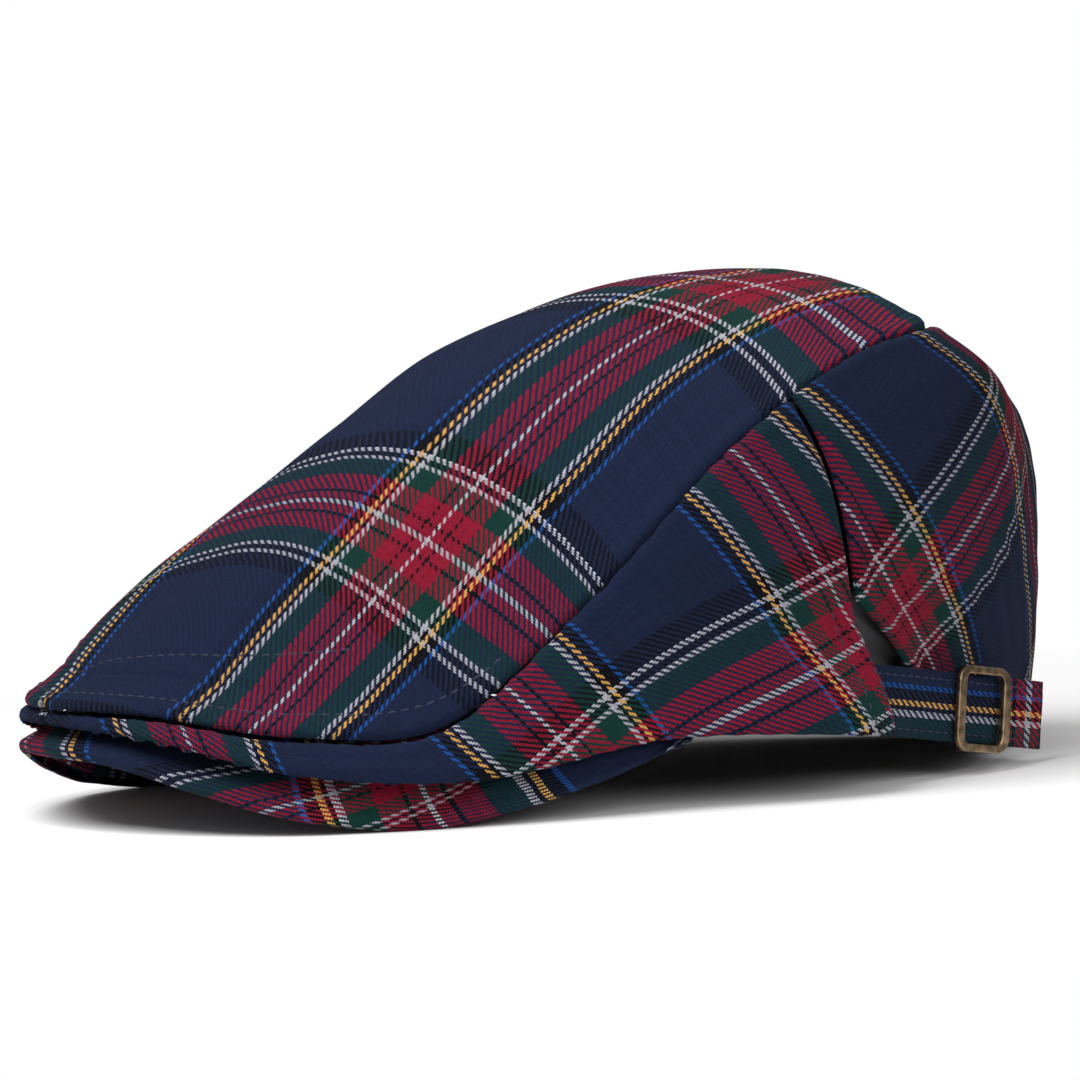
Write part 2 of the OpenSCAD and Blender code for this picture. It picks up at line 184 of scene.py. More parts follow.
class CapClothSettings(bpy.types.PropertyGroup):
    """How the cap's cloth is cut, rolled at its seams and sewn."""

    twill: FloatProperty(
        name="Twill", description="Thickness of the tartan twill", default=1.2 * MM, unit="LENGTH"
    )
    lining: FloatProperty(
        name="Lining", description="Thickness of the lining", default=0.5 * MM, unit="LENGTH"
    )
    roll: FloatProperty(
        name="Seam roll", description="How deep a panel's edge turns in at a seam",
        default=1.1 * MM, unit="LENGTH",
    )
    ridge: FloatProperty(
        name="Seam ridge", description="How high the turnings lift a panel beside its seam",
        default=0.55 * MM, unit="LENGTH",
    )
    pucker: FloatProperty(
        name="Pucker", description="Height of the puckers along the seams",
        default=0.22 * MM, unit="LENGTH",
    )
    rumple: FloatProperty(
        name="Rumple", description="Height of the soft waves over the crown",
        default=0.9 * MM, unit="LENGTH",
    )
    overhang: FloatProperty(
        name="Overhang", description="How far the top panel's front edge stands over the peak",
        default=1.6 * MM, unit="LENGTH",
    )
    flare: FloatProperty(
        name="Vent flare", description="How far the front piece stands off the crown at the vent",
        default=9.5 * MM, unit="LENGTH",
    )
    thread: FloatProperty(
        name="Thread", description="Diameter of the sewing thread", default=0.5 * MM, unit="LENGTH"
    )
    stitch: FloatProperty(
        name="Stitch", description="Length of one stitch and the gap after it",
        default=3.0 * MM, unit="LENGTH",
    )


class CapTartanSettings(bpy.types.PropertyGroup):
    """The tartan's repeat and yarns."""

    warp_sett: FloatProperty(
        name="Warp repeat", description="Width of one repeat of the lengthwise stripes",
        default=85 * MM, unit="LENGTH",
    )
    weft_sett: FloatProperty(
        name="Weft repeat", description="Height of one repeat of the crosswise stripes",
        default=88 * MM, unit="LENGTH",
    )
    yarn: FloatProperty(
        name="Yarn", description="Distance from one yarn to the next", default=0.46 * MM, unit="LENGTH"
    )
    relief: FloatProperty(
        name="Relief", description="Height of the weave", default=0.22 * MM, unit="LENGTH"
    )
    sheen: FloatProperty(
        name="Sheen", description="Soft fuzz on the cloth", default=0.03, min=0, max=1, subtype="FACTOR"
    )


class CapBuckleSettings(bpy.types.PropertyGroup):
    """The slide buckle's metal."""

    rim: FloatProperty(
        name="End bar", description="Width of the buckle's end bars", default=3.0 * MM, unit="LENGTH"
    )
    rail: FloatProperty(
        name="Rail", description="Width of the buckle's two rails", default=1.9 * MM, unit="LENGTH"
    )
    metal: FloatProperty(
        name="Metal", description="Thickness of the buckle's metal", default=1.3 * MM, unit="LENGTH"
    )
    corner: FloatProperty(
        name="Corner", description="Radius of the buckle's corners", default=3.2 * MM, unit="LENGTH"
    )
    bow: FloatProperty(
        name="Bow", description="How far the worn frame is bent", default=0.5 * MM, unit="LENGTH"
    )


class CapStageSettings(bpy.types.PropertyGroup):
    """Camera and light."""

    azimuth: FloatProperty(
        name="Azimuth", description="Camera's turn from the front towards the wearer's left",
        default=np.radians(61.5), subtype="ANGLE",
    )
    elevation: FloatProperty(
        name="Elevation", description="Camera's height as an angle", default=np.radians(3.03),
        subtype="ANGLE",
    )
    roll: FloatProperty(
        name="Roll", description="Camera's turn about its view", default=np.radians(-2.27),
        subtype="ANGLE",
    )
    distance: FloatProperty(
        name="Distance", description="From the camera to the cap", default=1.16, unit="LENGTH"
    )
    focal: FloatProperty(
        name="Focal length", description="Focal length on a 36 mm sensor", default=159.7,
        subtype="DISTANCE_CAMERA", unit="CAMERA",
    )
    key_power: FloatProperty(
        name="Key light", description="Power of the light over the cap", default=13.0, unit="POWER"
    )
    ambient: FloatProperty(
        name="Ambient", description="Strength of the light from all round", default=0.32, min=0
    )
    fill_power: FloatProperty(
        name="Fill light", description="Power of the light beside the camera", default=5.0, unit="POWER"
    )


# ---------------------------------------------------------------- meshes


def sized(points):
    """Pattern points in millimetres to metres, scaled to the frame's own size."""
    low, high = (np.array(c) for c in START_BOUNDS)
    return points * (high - low) / np.array(DRAWN)


def cap_surface(points):
    """Pattern points to the points of the slumped crown, in metres."""
    return sized(slumped(points))


def grid_of(rows, cols):
    """Two arrays that run over rows and cols, one row of points for each value of rows."""
    return np.meshgrid(rows, cols, indexing="ij")


def normals_of(points, flip):
    """Unit normals of a grid of points."""
    n = np.cross(np.gradient(points, axis=0), np.gradient(points, axis=1))
    n /= np.maximum(np.linalg.norm(n, axis=-1, keepdims=True), 1e-12)
    return -n if flip else n


def run_along(points, axis):
    """Distance run along a grid's rows or columns from its first point."""
    step = np.linalg.norm(np.diff(points, axis=axis), axis=-1)
    start = np.zeros_like(np.take(step, [0], axis=axis))
    return np.cumsum(np.concatenate([start, step], axis), axis)


def distance_to(points, line):
    """Distance from every point of a grid to the nearest point of a line."""
    flat = points.reshape(-1, 3)
    best = np.full(len(flat), np.inf)
    for p in line:
        best = np.minimum(best, np.linalg.norm(flat - p, axis=1))
    return best.reshape(points.shape[:-1])


def waves(points, length, seed, count=7):
    """Smooth seeded noise in space, from about -1 to 1, with waves of about one length."""
    rng = np.random.default_rng(seed)
    total = np.zeros(points.shape[:-1])
    for _ in range(count):
        way = rng.normal(size=3)
        way *= 2 * np.pi / (np.linalg.norm(way) * length * rng.uniform(0.7, 1.5))
        total += np.sin(points @ way + rng.uniform(0, 2 * np.pi))
    return total / count * 1.6


def grid_area(points):
    """Area of a grid of quads."""
    a, b, c, d = points[:-1, :-1], points[1:, :-1], points[1:, 1:], points[:-1, 1:]
    return float(np.linalg.norm(np.cross(c - a, d - b), axis=-1).sum() / 2)


TAPER = 0.32


def flat_size(uv):
    """Width and length of the smallest rectangle of cloth that a piece can be cut from."""
    flat = uv.reshape(-1, 2)
    sizes = []
    for a in np.radians(np.arange(0, 90, 3)):
        turned_flat = flat @ np.array([[np.cos(a), -np.sin(a)], [np.sin(a), np.cos(a)]])
        sizes.append(np.ptp(turned_flat, axis=0))
    width, length = sorted(min(sizes, key=np.prod))
    return float(width), float(length)


def add_object(name, verts, faces, material, smooth=True):
    """A mesh object with one material."""
    mesh = bpy.data.meshes.new(name)
    mesh.from_pydata([tuple(v) for v in verts], [], faces)
    mesh.update()
    mesh.polygons.foreach_set("use_smooth", [smooth] * len(mesh.polygons))
    mesh.materials.append(material)
    obj = bpy.data.objects.new(name, mesh)
    bpy.context.scene.collection.objects.link(obj)
    return obj


def set_cloth_uv(obj, uv):
    """Stores the cloth's own coordinates, one pair for each vertex, as a UV map."""
    layer = obj.data.uv_layers.new(name=CLOTH_UV)
    index = np.empty(len(obj.data.loops), dtype=np.int32)
    obj.data.loops.foreach_get("vertex_index", index)
    layer.data.foreach_set("uv", np.asarray(uv, float).reshape(-1, 2)[index].ravel())


def closed_faces(rows, cols, flip):
    """Faces of a thin solid between two grids, the outer one first."""
    faces = []
    count = rows * cols
    for i in range(rows - 1):
        for j in range(cols - 1):
            a = i * cols + j
            quad = (a, a + 1, a + cols + 1, a + cols)
            faces.append(quad)
            faces.append(tuple(count + k for k in reversed(quad)))
    for i in range(rows - 1):
        a, b = i * cols, i * cols + cols - 1
        faces.append((a, a + cols, count + a + cols, count + a))
        faces.append((b + cols, b, count + b, count + b + cols))
    for j in range(cols - 1):
        a, b = j, (rows - 1) * cols + j
        faces.append((a + 1, a, count + a, count + a + 1))
        faces.append((b, b + 1, count + b + 1, count + b))
    return [tuple(reversed(f)) for f in faces] if not flip else faces


def cloth_piece(
    name, outer, uv, thick, material, body, replaces, flip=False, flat=None
):
    """A sheet of cloth whose outer face is a grid of points, with its own cloth coordinates.

    Its flat size is read from those coordinates unless flat gives others, and an area held to that
    rectangle's is worked out, falling short where the coordinates are squeezed; neither is kept.
    """
    normal = normals_of(outer, flip)
    inner = outer - normal * thick
    rows, cols = outer.shape[:2]
    verts = np.concatenate([outer.reshape(-1, 3), inner.reshape(-1, 3)])
    obj = add_object(name, verts, closed_faces(rows, cols, flip), material)
    set_cloth_uv(obj, np.concatenate([uv.reshape(-1, 2)] * 2))
    width, length = flat_size(uv if flat is None else flat)
    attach(obj, body)
    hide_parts(*replaces)
    area = min(grid_area(outer), width * length)
    width = min(width, area / (TAPER * length))
    return obj


def turned(x, y, angle, at):
    """Cloth coordinates of places on a panel whose grain is turned by an angle."""
    c = x * np.cos(angle) + y * np.sin(angle) - at[0]
    w = y * np.cos(angle) - x * np.sin(angle) - at[1]
    return np.stack([c, w], -1)


def rolled(points, edges, cloth, flip, seed, extra=0.0):
    """A panel's outer face: it waves softly, puckers by its seams and turns in at its edges."""
    near = np.min([distance_to(points, e) for e in edges], axis=0)
    ridge = cloth.ridge * np.exp(-(((near - 2.8 * MM) / (1.8 * MM)) ** 2))
    roll = -cloth.roll * (1 - smooth(near / (1.1 * MM)))
    puckers = cloth.pucker * waves(points, 9 * MM, seed) * np.exp(-near / (7 * MM))
    soft = cloth.rumple * waves(points, 60 * MM, seed + 1) * smooth(near / (25 * MM))
    fine = 0.3 * cloth.rumple * waves(points, 22 * MM, seed + 2) * smooth(near / (12 * MM))
    lift = ridge + roll + puckers + soft + fine + extra
    return points + normals_of(points, flip) * lift[..., None]


# ---------------------------------------------------------------- materials


def new_group(name, inputs, outputs):
    """An empty node group with the given sockets, and its input and output nodes."""
    group = bpy.data.node_groups.new(name, "ShaderNodeTree")
    for label, kind, value in inputs:
        socket = group.interface.new_socket(label, in_out="INPUT", socket_type=kind)
        if value is not None:
            socket.default_value = value
    for label, kind in outputs:
        group.interface.new_socket(label, in_out="OUTPUT", socket_type=kind)
    return group, group.nodes.new("NodeGroupInput"), group.nodes.new("NodeGroupOutput")


class Wires:
    """Short ways to add and link the nodes of one tree."""

    def __init__(self, tree):
        self.tree = tree

    def node(self, kind, **settings):
        made = self.tree.nodes.new(kind)
        for key, value in settings.items():
            setattr(made, key, value)
        return made

    def put(self, socket, value):
        if isinstance(value, bpy.types.NodeSocket):
            self.tree.links.new(value, socket)
        else:
            socket.default_value = value

    def math(self, operation, a, b=0.0, c=0.0):
        made = self.node("ShaderNodeMath", operation=operation)
        for socket, value in zip(made.inputs, (a, b, c)):
            self.put(socket, value)
        return made.outputs[0]

    def blend(self, share, a, b, mode="MIX"):
        made = self.node("ShaderNodeMix", data_type="RGBA", blend_type=mode)
        self.put(made.inputs["Factor"], share)
        self.put(made.inputs[6], a)
        self.put(made.inputs[7], b)
        return made.outputs[2]

    def ramp(self, value, stops, smooth_steps=False):
        """stops is [(from here on, colour)]."""
        made = self.node("ShaderNodeValToRGB")
        ramp = made.color_ramp
        ramp.interpolation = "LINEAR" if smooth_steps else "CONSTANT"
        while len(ramp.elements) < len(stops):
            ramp.elements.new(0.5)
        for element, (place, colour) in zip(ramp.elements, stops):
            element.position = place
            element.color = (*colour, 1.0)
        self.put(made.inputs[0], value)
        return made.outputs["Color"]

    def noise(self, vector, scale, detail=2.0, dimensions="3D"):
        made = self.node("ShaderNodeTexNoise", noise_dimensions=dimensions)
        made.inputs["Scale"].default_value = scale
        made.inputs["Detail"].default_value = detail
        self.put(made.inputs["Vector"], vector)
        return made.outputs["Fac"]


CRIMSON = (0.235, 0.009, 0.027)
NAVY = (0.0105, 0.0170, 0.046)
INK = (0.005, 0.006, 0.011)
BLACK = (0.0035, 0.0035, 0.005)
GREEN = (0.006, 0.036, 0.030)
WHITE = (0.40, 0.40, 0.45)
GOLD = (0.62, 0.33, 0.075)
BLUE = (0.012, 0.085, 0.33)
# The stripes on each side of the middle of a crimson band: where each ends, in millimetres.
WARP_STRIPES = [
    (0.45, WHITE), (3.0, CRIMSON), (3.9, BLACK), (9.1, CRIMSON), (14.9, GREEN), (16.3, WHITE),
    (17.4, BLACK), (18.7, GOLD), (21.4, BLACK), (22.5, BLUE), (42.5, NAVY),
]
WEFT_STRIPES = [
    (0.55, WHITE), (3.1, CRIMSON), (4.0, INK), (9.3, CRIMSON), (15.0, GREEN), (16.2, WHITE),
    (18.0, INK), (19.2, WHITE), (24.0, INK), (44.0, NAVY),
]


def stripe_stops(stripes):
    """Colour stops, over half a repeat, from where each stripe ends."""
    half = stripes[-1][0]
    starts = [0.0] + [end / half for end, _ in stripes[:-1]]
    return [(start, colour) for start, (_, colour) in zip(starts, stripes)]


def tartan_group():
    """Tartan twill: cloth coordinates in metres to colour, height and how bright the yarns are; the colour
    holds painted shade in the weave's grooves and at the yarns' edges.
    """
    group, inside, out = new_group(
        "Tartan twill",
        [
            ("Cloth", "NodeSocketVector", None),
            ("Warp repeat", "NodeSocketFloat", 0.085),
            ("Weft repeat", "NodeSocketFloat", 0.088),
            ("Yarn", "NodeSocketFloat", 0.0005),
        ],
        [("Color", "NodeSocketColor"), ("Height", "NodeSocketFloat"), ("Fuzz", "NodeSocketFloat")],
    )
    w = Wires(group)
    split = w.node("ShaderNodeSeparateXYZ")
    w.put(split.inputs[0], inside.outputs["Cloth"])
    wander = w.math("MULTIPLY", w.noise(inside.outputs["Cloth"], 260.0, 1.0), 0.0003)
    across = w.math("ADD", split.outputs["X"], wander)
    up = w.math("ADD", split.outputs["Y"], wander)

    def stripes(place, repeat, table):
        half = w.math("MULTIPLY", repeat, 0.5)
        folded = w.math("PINGPONG", place, half)
        return w.ramp(w.math("DIVIDE", folded, half), stripe_stops(table))

    warp = stripes(across, inside.outputs["Warp repeat"], WARP_STRIPES)
    weft = stripes(up, inside.outputs["Weft repeat"], WEFT_STRIPES)
    yarn_x = w.math("DIVIDE", across, inside.outputs["Yarn"])
    yarn_y = w.math("DIVIDE", up, inside.outputs["Yarn"])
    number_x, number_y = w.math("FLOOR", yarn_x), w.math("FLOOR", yarn_y)
    turn = w.math("FLOORED_MODULO", w.math("ADD", number_x, number_y), 4.0)
    warp_on_top = w.math("LESS_THAN", turn, 1.5)

    def yarn_round(place):
        off = w.math("SUBTRACT", w.math("FRACT", place), 0.5)
        return w.math("SUBTRACT", 1.0, w.math("MULTIPLY", w.math("MULTIPLY", off, off), 3.2))

    def yarn_shade(number, seed):
        made = w.node("ShaderNodeTexWhiteNoise", noise_dimensions="1D")
        w.put(made.inputs["W"], w.math("ADD", number, seed))
        return w.math("MULTIPLY_ADD", made.outputs["Value"], 0.34, 0.83)

    round_x, round_y = yarn_round(yarn_x), yarn_round(yarn_y)
    warp_part = w.math("MULTIPLY", warp_on_top, round_x)
    weft_part = w.math("MULTIPLY", w.math("SUBTRACT", 1.0, warp_on_top), round_y)
    height = w.math("ADD", warp_part, weft_part)
    shade_x, shade_y = yarn_shade(number_x, 0.5), yarn_shade(number_y, 300.5)
    shade = w.math(
        "ADD",
        w.math("MULTIPLY", warp_on_top, shade_x),
        w.math("MULTIPLY", w.math("SUBTRACT", 1.0, warp_on_top), shade_y),
    )
    fibres = w.noise(inside.outputs["Cloth"], 9000.0, 2.0)
    bright = w.math("MULTIPLY", shade, w.math("MULTIPLY_ADD", fibres, 0.7, 0.62))
    # Painted shade: each yarn's colour is darkened towards its edges and in the grooves between yarns, by the
    # weave's height.
    bright = w.math("MULTIPLY", bright, w.math("MULTIPLY_ADD", height, 0.45, 0.62))
    colour = w.blend(warp_on_top, weft, warp)
    made = w.node("ShaderNodeVectorMath", operation="SCALE")
    w.put(made.inputs[0], colour)
    w.put(made.inputs["Scale"], bright)
    w.put(out.inputs["Color"], made.outputs[0])
    w.put(out.inputs["Height"], w.math("ADD", height, w.math("MULTIPLY", fibres, 0.5)))
    w.put(out.inputs["Fuzz"], fibres)
    return group


def weave_group():
    """A plain or satin weave of one colour: cloth coordinates in metres to a shade and a height."""
    group, inside, out = new_group(
        "Fine weave",
        [
            ("Cloth", "NodeSocketVector", None),
            ("Yarn", "NodeSocketFloat", 0.0003),
            ("Variation", "NodeSocketFloat", 0.2),
        ],
        [("Shade", "NodeSocketFloat"), ("Height", "NodeSocketFloat")],
    )
    w = Wires(group)
    split = w.node("ShaderNodeSeparateXYZ")
    w.put(split.inputs[0], inside.outputs["Cloth"])
    turns = [
        w.math("MULTIPLY", w.math("DIVIDE", split.outputs[axis], inside.outputs["Yarn"]), 2 * np.pi)
        for axis in ("X", "Y")
    ]
    weave = w.math("MULTIPLY", w.math("SINE", turns[0]), w.math("SINE", turns[1]))
    cloud = w.math("SUBTRACT", w.noise(inside.outputs["Cloth"], 90.0, 3.0), 0.5)
    w.put(out.inputs["Shade"], w.math("MULTIPLY_ADD", cloud, inside.outputs["Variation"], 1.0))
    w.put(out.inputs["Height"], weave)
    return group


def wear_group():
    """Worn metal: how much bright metal shows through the patina, its roughness and its height."""
    group, inside, out = new_group(
        "Worn metal",
        [("Place", "NodeSocketVector", None), ("Edge", "NodeSocketFloat", 0.0)],
        [("Bright", "NodeSocketFloat"), ("Roughness", "NodeSocketFloat"), ("Height", "NodeSocketFloat")],
    )
    w = Wires(group)
    blotches = w.noise(inside.outputs["Place"], 420.0, 5.0)
    grain = w.noise(inside.outputs["Place"], 2600.0, 3.0)
    edge = w.math("MULTIPLY", inside.outputs["Edge"], w.math("MULTIPLY_ADD", blotches, 1.6, -0.2))
    rubbed = w.math("MULTIPLY_ADD", blotches, 1.3, -0.42)
    bright = w.math("ADD", w.math("MAXIMUM", rubbed, 0.0), edge)
    w.put(out.inputs["Bright"], w.math("MINIMUM", bright, 1.0))
    w.put(out.inputs["Roughness"], w.math("MULTIPLY_ADD", grain, 0.3, 0.26))
    w.put(out.inputs["Height"], w.math("ADD", w.math("MULTIPLY", grain, 0.4), blotches))
    return group


def new_material(name):
    """A material with a Principled shader, and short ways to wire it."""
    material = bpy.data.materials.new(f"{name}_look")
    material.use_nodes = True
    w = Wires(material.node_tree)
    return material, w, material.node_tree.nodes["Principled BSDF"]


def add_bump(w, shader, height, distance, strength=1.0):
    bump = w.node("ShaderNodeBump")
    bump.inputs["Distance"].default_value = distance
    bump.inputs["Strength"].default_value = strength
    w.put(bump.inputs["Height"], height)
    w.put(shader.inputs["Normal"], bump.outputs["Normal"])


def tartan_material(tartan):
    material, w, shader = new_material("tartan_twill")
    group = w.node("ShaderNodeGroup", node_tree=bpy.data.node_groups["Tartan twill"])
    w.put(group.inputs["Cloth"], w.node("ShaderNodeUVMap", uv_map=CLOTH_UV).outputs["UV"])
    group.inputs["Warp repeat"].default_value = tartan.warp_sett
    group.inputs["Weft repeat"].default_value = tartan.weft_sett
    group.inputs["Yarn"].default_value = tartan.yarn
    w.put(shader.inputs["Base Color"], group.outputs["Color"])
    w.put(shader.inputs["Roughness"], w.math("MULTIPLY_ADD", group.outputs["Fuzz"], 0.15, 0.78))
    shader.inputs["Specular IOR Level"].default_value = 0.05
    shader.inputs["Sheen Weight"].default_value = tartan.sheen
    shader.inputs["Sheen Roughness"].default_value = 0.45
    shader.inputs["Sheen Tint"].default_value = (0.55, 0.62, 0.85, 1.0)
    add_bump(w, shader, group.outputs["Height"], tartan.relief)
    return material


def weave_material(name, colour, yarn, roughness, variation, sheen, relief):
    material, w, shader = new_material(name)
    group = w.node("ShaderNodeGroup", node_tree=bpy.data.node_groups["Fine weave"])
    w.put(group.inputs["Cloth"], w.node("ShaderNodeUVMap", uv_map=CLOTH_UV).outputs["UV"])
    group.inputs["Yarn"].default_value = yarn
    group.inputs["Variation"].default_value = variation
    tint = w.node("ShaderNodeVectorMath", operation="SCALE")
    tint.inputs[0].default_value = colour
    w.put(tint.inputs["Scale"], group.outputs["Shade"])
    w.put(shader.inputs["Base Color"], tint.outputs[0])
    w.put(shader.inputs["Roughness"], w.math("MULTIPLY", group.outputs["Shade"], roughness))
    shader.inputs["Sheen Weight"].default_value = sheen
    shader.inputs["Sheen Roughness"].default_value = 0.3
    add_bump(w, shader, group.outputs["Height"], relief)
    return material


def brass_material():
    material, w, shader = new_material("antique_brass")
    place = w.node("ShaderNodeTexCoord").outputs["Object"]
    edge = w.node("ShaderNodeAttribute", attribute_name="edge")
    group = w.node("ShaderNodeGroup", node_tree=bpy.data.node_groups["Worn metal"])
    w.put(group.inputs["Place"], place)
    w.put(group.inputs["Edge"], edge.outputs["Fac"])
    colour = w.blend(group.outputs["Bright"], (0.045, 0.030, 0.020, 1.0), (0.42, 0.29, 0.17, 1.0))
    w.put(shader.inputs["Base Color"], colour)
    w.put(shader.inputs["Roughness"], group.outputs["Roughness"])
    shader.inputs["Metallic"].default_value = 1.0
    add_bump(w, shader, group.outputs["Height"], 0.08 * MM)
    return material


def plain_material(name, colour, roughness, scale, relief):
    """A plain solid with a faint grain, for thread and board."""
    material, w, shader = new_material(name)
    place = w.node("ShaderNodeTexCoord").outputs["Object"]
    grain = w.noise(place, scale, 4.0)
    tint = w.node("ShaderNodeVectorMath", operation="SCALE")
    tint.inputs[0].default_value = colour
    w.put(tint.inputs["Scale"], w.math("MULTIPLY_ADD", grain, 0.3, 0.85))
    w.put(shader.inputs["Base Color"], tint.outputs[0])
    shader.inputs["Roughness"].default_value = roughness
    add_bump(w, shader, grain, relief)
    return material


def floor_material():
    """A pale floor that turns, away from the cap, into a white glow seen by the camera only."""
    material, w, shader = new_material("floor")
    place = w.node("ShaderNodeTexCoord").outputs["Object"]
    away = w.node("ShaderNodeVectorMath", operation="LENGTH")
    w.put(away.inputs[0], place)
    share = w.math("MULTIPLY_ADD", away.outputs["Value"], 5.0, -0.9)
    far = w.math("MINIMUM", w.math("MAXIMUM", share, 0.0), 1.0)
    near = w.math("SUBTRACT", 1.0, far)
    tint = w.node("ShaderNodeVectorMath", operation="SCALE")
    tint.inputs[0].default_value = (0.94, 0.94, 0.94)
    w.put(tint.inputs["Scale"], near)
    w.put(shader.inputs["Base Color"], tint.outputs[0])
    seen = w.node("ShaderNodeLightPath").outputs["Is Camera Ray"]
    shader.inputs["Emission Color"].default_value = (1.0, 1.0, 1.0, 1.0)
    w.put(shader.inputs["Emission Strength"], w.math("MULTIPLY", far, seen))
    shader.inputs["Specular IOR Level"].default_value = 0.0
    shader.inputs["Roughness"].default_value = 0.8
    return material


def material(name):
    """This script's own material for a slot; the frame's plain ones have the bare names."""
    return bpy.data.materials[f"{name}_look"]


# ---------------------------------------------------------------- crown


SIDES = {"left": 1, "right": -1}
VENT_SHARE = 0.69
VENT_TOP = 0.28
VENT_OPEN = 0.085
STRAP_HEADING = np.radians(21.0)
END_GAP = 0.0004


def top_cloth_uv(points):
    """The top panel's stripes, which run back over the crown, turned a little to its left.

    They are bent and squeezed to lie as they do on the cap, so they are not the grain of one
    flat cloth, and the flat size read from them is smaller than the panel.
    """
    centre = points.shape[1] // 2
    across = run_along(points, 1)
    across = across - across[:, centre : centre + 1]
    back = np.repeat(run_along(points[:, centre : centre + 1], 0), points.shape[1], 1)
    # How far the weft leans back across the panel, at its front and at its back.
    sweep = mix(0.62, 0.16, smooth((back - 0.110) / 0.110))
    # The first crimson warp band's middle, its lean and how much the warp is squeezed.
    c = 0.84 * (across + 0.34 * back - 0.0815)
    # The weft leans less on the far side of the middle.
    far_side = mix(0.55, 1.0, smooth((across + 0.025) / 0.050))
    length = back - sweep * far_side * across
    # The first weft band's middle is 70 mm back, and the repeat is stretched past 90 mm.
    w = 0.93 * (np.minimum(length, 0.090) - 0.070) + 0.61 * np.maximum(length - 0.090, 0)
    return np.stack([c, w], -1)


def vent_flare(points, u, v, cloth):
    """The front piece's free corner swings outwards beside the vent."""
    push = cloth.flare / MM * smooth((u / VENT_SHARE - 0.75) / 0.25) * smooth(1 - v / VENT_TOP)
    return points + push[..., None] * np.array([np.cos(STRAP_HEADING), np.sin(STRAP_HEADING), 0])


def make_top_panel(cloth, fine):
    t, s = grid_of(np.linspace(0.006, 0.995, int(150 * fine)), np.linspace(-0.998, 0.998, int(110 * fine)))
    plain = cap_surface(top_point(t, s))
    share = np.linspace(0, 1, 240)
    edges = [cap_surface(top_point(share, np.full_like(share, side))) for side in (-1, 1)]
    near = np.minimum(distance_to(plain, edges[0]), distance_to(plain, edges[1]))
    front = smooth((0.46 - t) / 0.16)
    lip = front * np.exp(-((near / (7 * MM)) ** 2)) * cloth.overhang
    rows = sum(np.exp(-(((near - d * MM) / (0.6 * MM)) ** 2)) for d in (3.2,))
    tack = np.exp(-(((near - 12.2 * MM) / (0.7 * MM)) ** 2)) * smooth((0.33 - t) / 0.05)
    extra = lip - 0.35 * MM * front * rows - 0.65 * MM * tack
    outer = rolled(plain, edges, cloth, True, 11, extra)
    cloth_piece(
        "top_panel_cloth", outer, top_cloth_uv(plain), cloth.twill, material("tartan_twill"),
        "cap", ["top_panel"], flip=True,
    )


def panel_runs(points):
    """Distance round a side panel at half its height, and up from its rim."""
    half = points.shape[1] // 2
    x = np.repeat(run_along(points[:, half : half + 1], 0), points.shape[1], 1)
    return x, run_along(points, 1)


def side_edges(u0, u1, side, cloth, flare, vented):
    """The four edges of a side panel as lines of points."""
    share = np.linspace(0, 1, 160)

    def line(u, v):
        p = side_point(u, v, side)
        return cap_surface(vent_flare(p, u, v, cloth) if flare else p)

    start = rear_start(share, vented) if u0 > 0.5 else np.full_like(share, u0)
    return [
        line(mix(u0, u1, share), np.zeros_like(share)),
        line(mix(u0, u1, share), np.ones_like(share)),
        line(start, share),
        line(np.full_like(share, u1), share),
    ]


def rear_start(v, vented):
    """Where a rear piece begins: it draws back below the top of the vent."""
    return VENT_SHARE + END_GAP + vented * VENT_OPEN * np.maximum(0, 1 - v / VENT_TOP)


def make_front_piece(name, cloth, fine):
    side = SIDES[name]
    flare = name == "left"
    u, v = grid_of(
        np.linspace(END_GAP, VENT_SHARE - END_GAP, int(190 * fine)), np.linspace(0, 0.998, int(64 * fine))
    )
    p = side_point(u, v, side)
    plain = cap_surface(vent_flare(p, u, v, cloth) if flare else p)
    x, y = panel_runs(plain)
    ease = 0.006 * smooth((0.095 - x) / 0.040)
    uv = turned(x, y, np.radians(24.0), (0.1245, -0.067))
    uv[..., 0] -= ease
    edges = side_edges(0.0, VENT_SHARE, side, cloth, flare, False)
    outer = rolled(plain, edges, cloth, side < 0, 23 + side)
    cloth_piece(
        f"{name}_front_cloth", outer, uv, cloth.twill, material("tartan_twill"),
        "cap", [f"{name}_front_panel"], flip=side < 0,
    )


def make_rear_piece(name, cloth, fine):
    side = SIDES[name]
    vented = name == "left"
    share, v = grid_of(np.linspace(0, 1, int(110 * fine)), np.linspace(0, 0.998, int(100 * fine)))
    u = mix(rear_start(v, vented), 1 - END_GAP, share)
    plain = cap_surface(side_point(u, v, side))
    full = cap_surface(side_point(mix(VENT_SHARE, 1.0, share), v, side))
    run = run_along(full[:, full.shape[1] // 2 :][:, :1], 0)[:, 0]
    x = np.interp(u.ravel(), mix(VENT_SHARE, 1.0, share[:, 0]), run).reshape(u.shape)
    uv = turned(x, run_along(plain, 1), np.radians(30.0), (0.039, 0.031))
    edges = side_edges(VENT_SHARE, 1.0, side, cloth, False, vented)
    pull = np.exp(-(((u - 0.86) / 0.10) ** 2)) * np.exp(-(((v - 0.30) / 0.22) ** 2))
    folds = 0.3 * MM * pull * np.sin((plain[..., 1] + 0.6 * plain[..., 2]) / (11 * MM) * 2 * np.pi)
    over = 1.1 * MM * np.exp(-((distance_to(plain, edges[2]) / (6 * MM)) ** 2))
    outer = rolled(plain, edges, cloth, side < 0, 37 + side, folds + over)
    cloth_piece(
        f"{name}_rear_cloth", outer, uv, cloth.twill, material("tartan_twill"),
        "cap", [f"{name}_rear_panel"], flip=side < 0,
    )


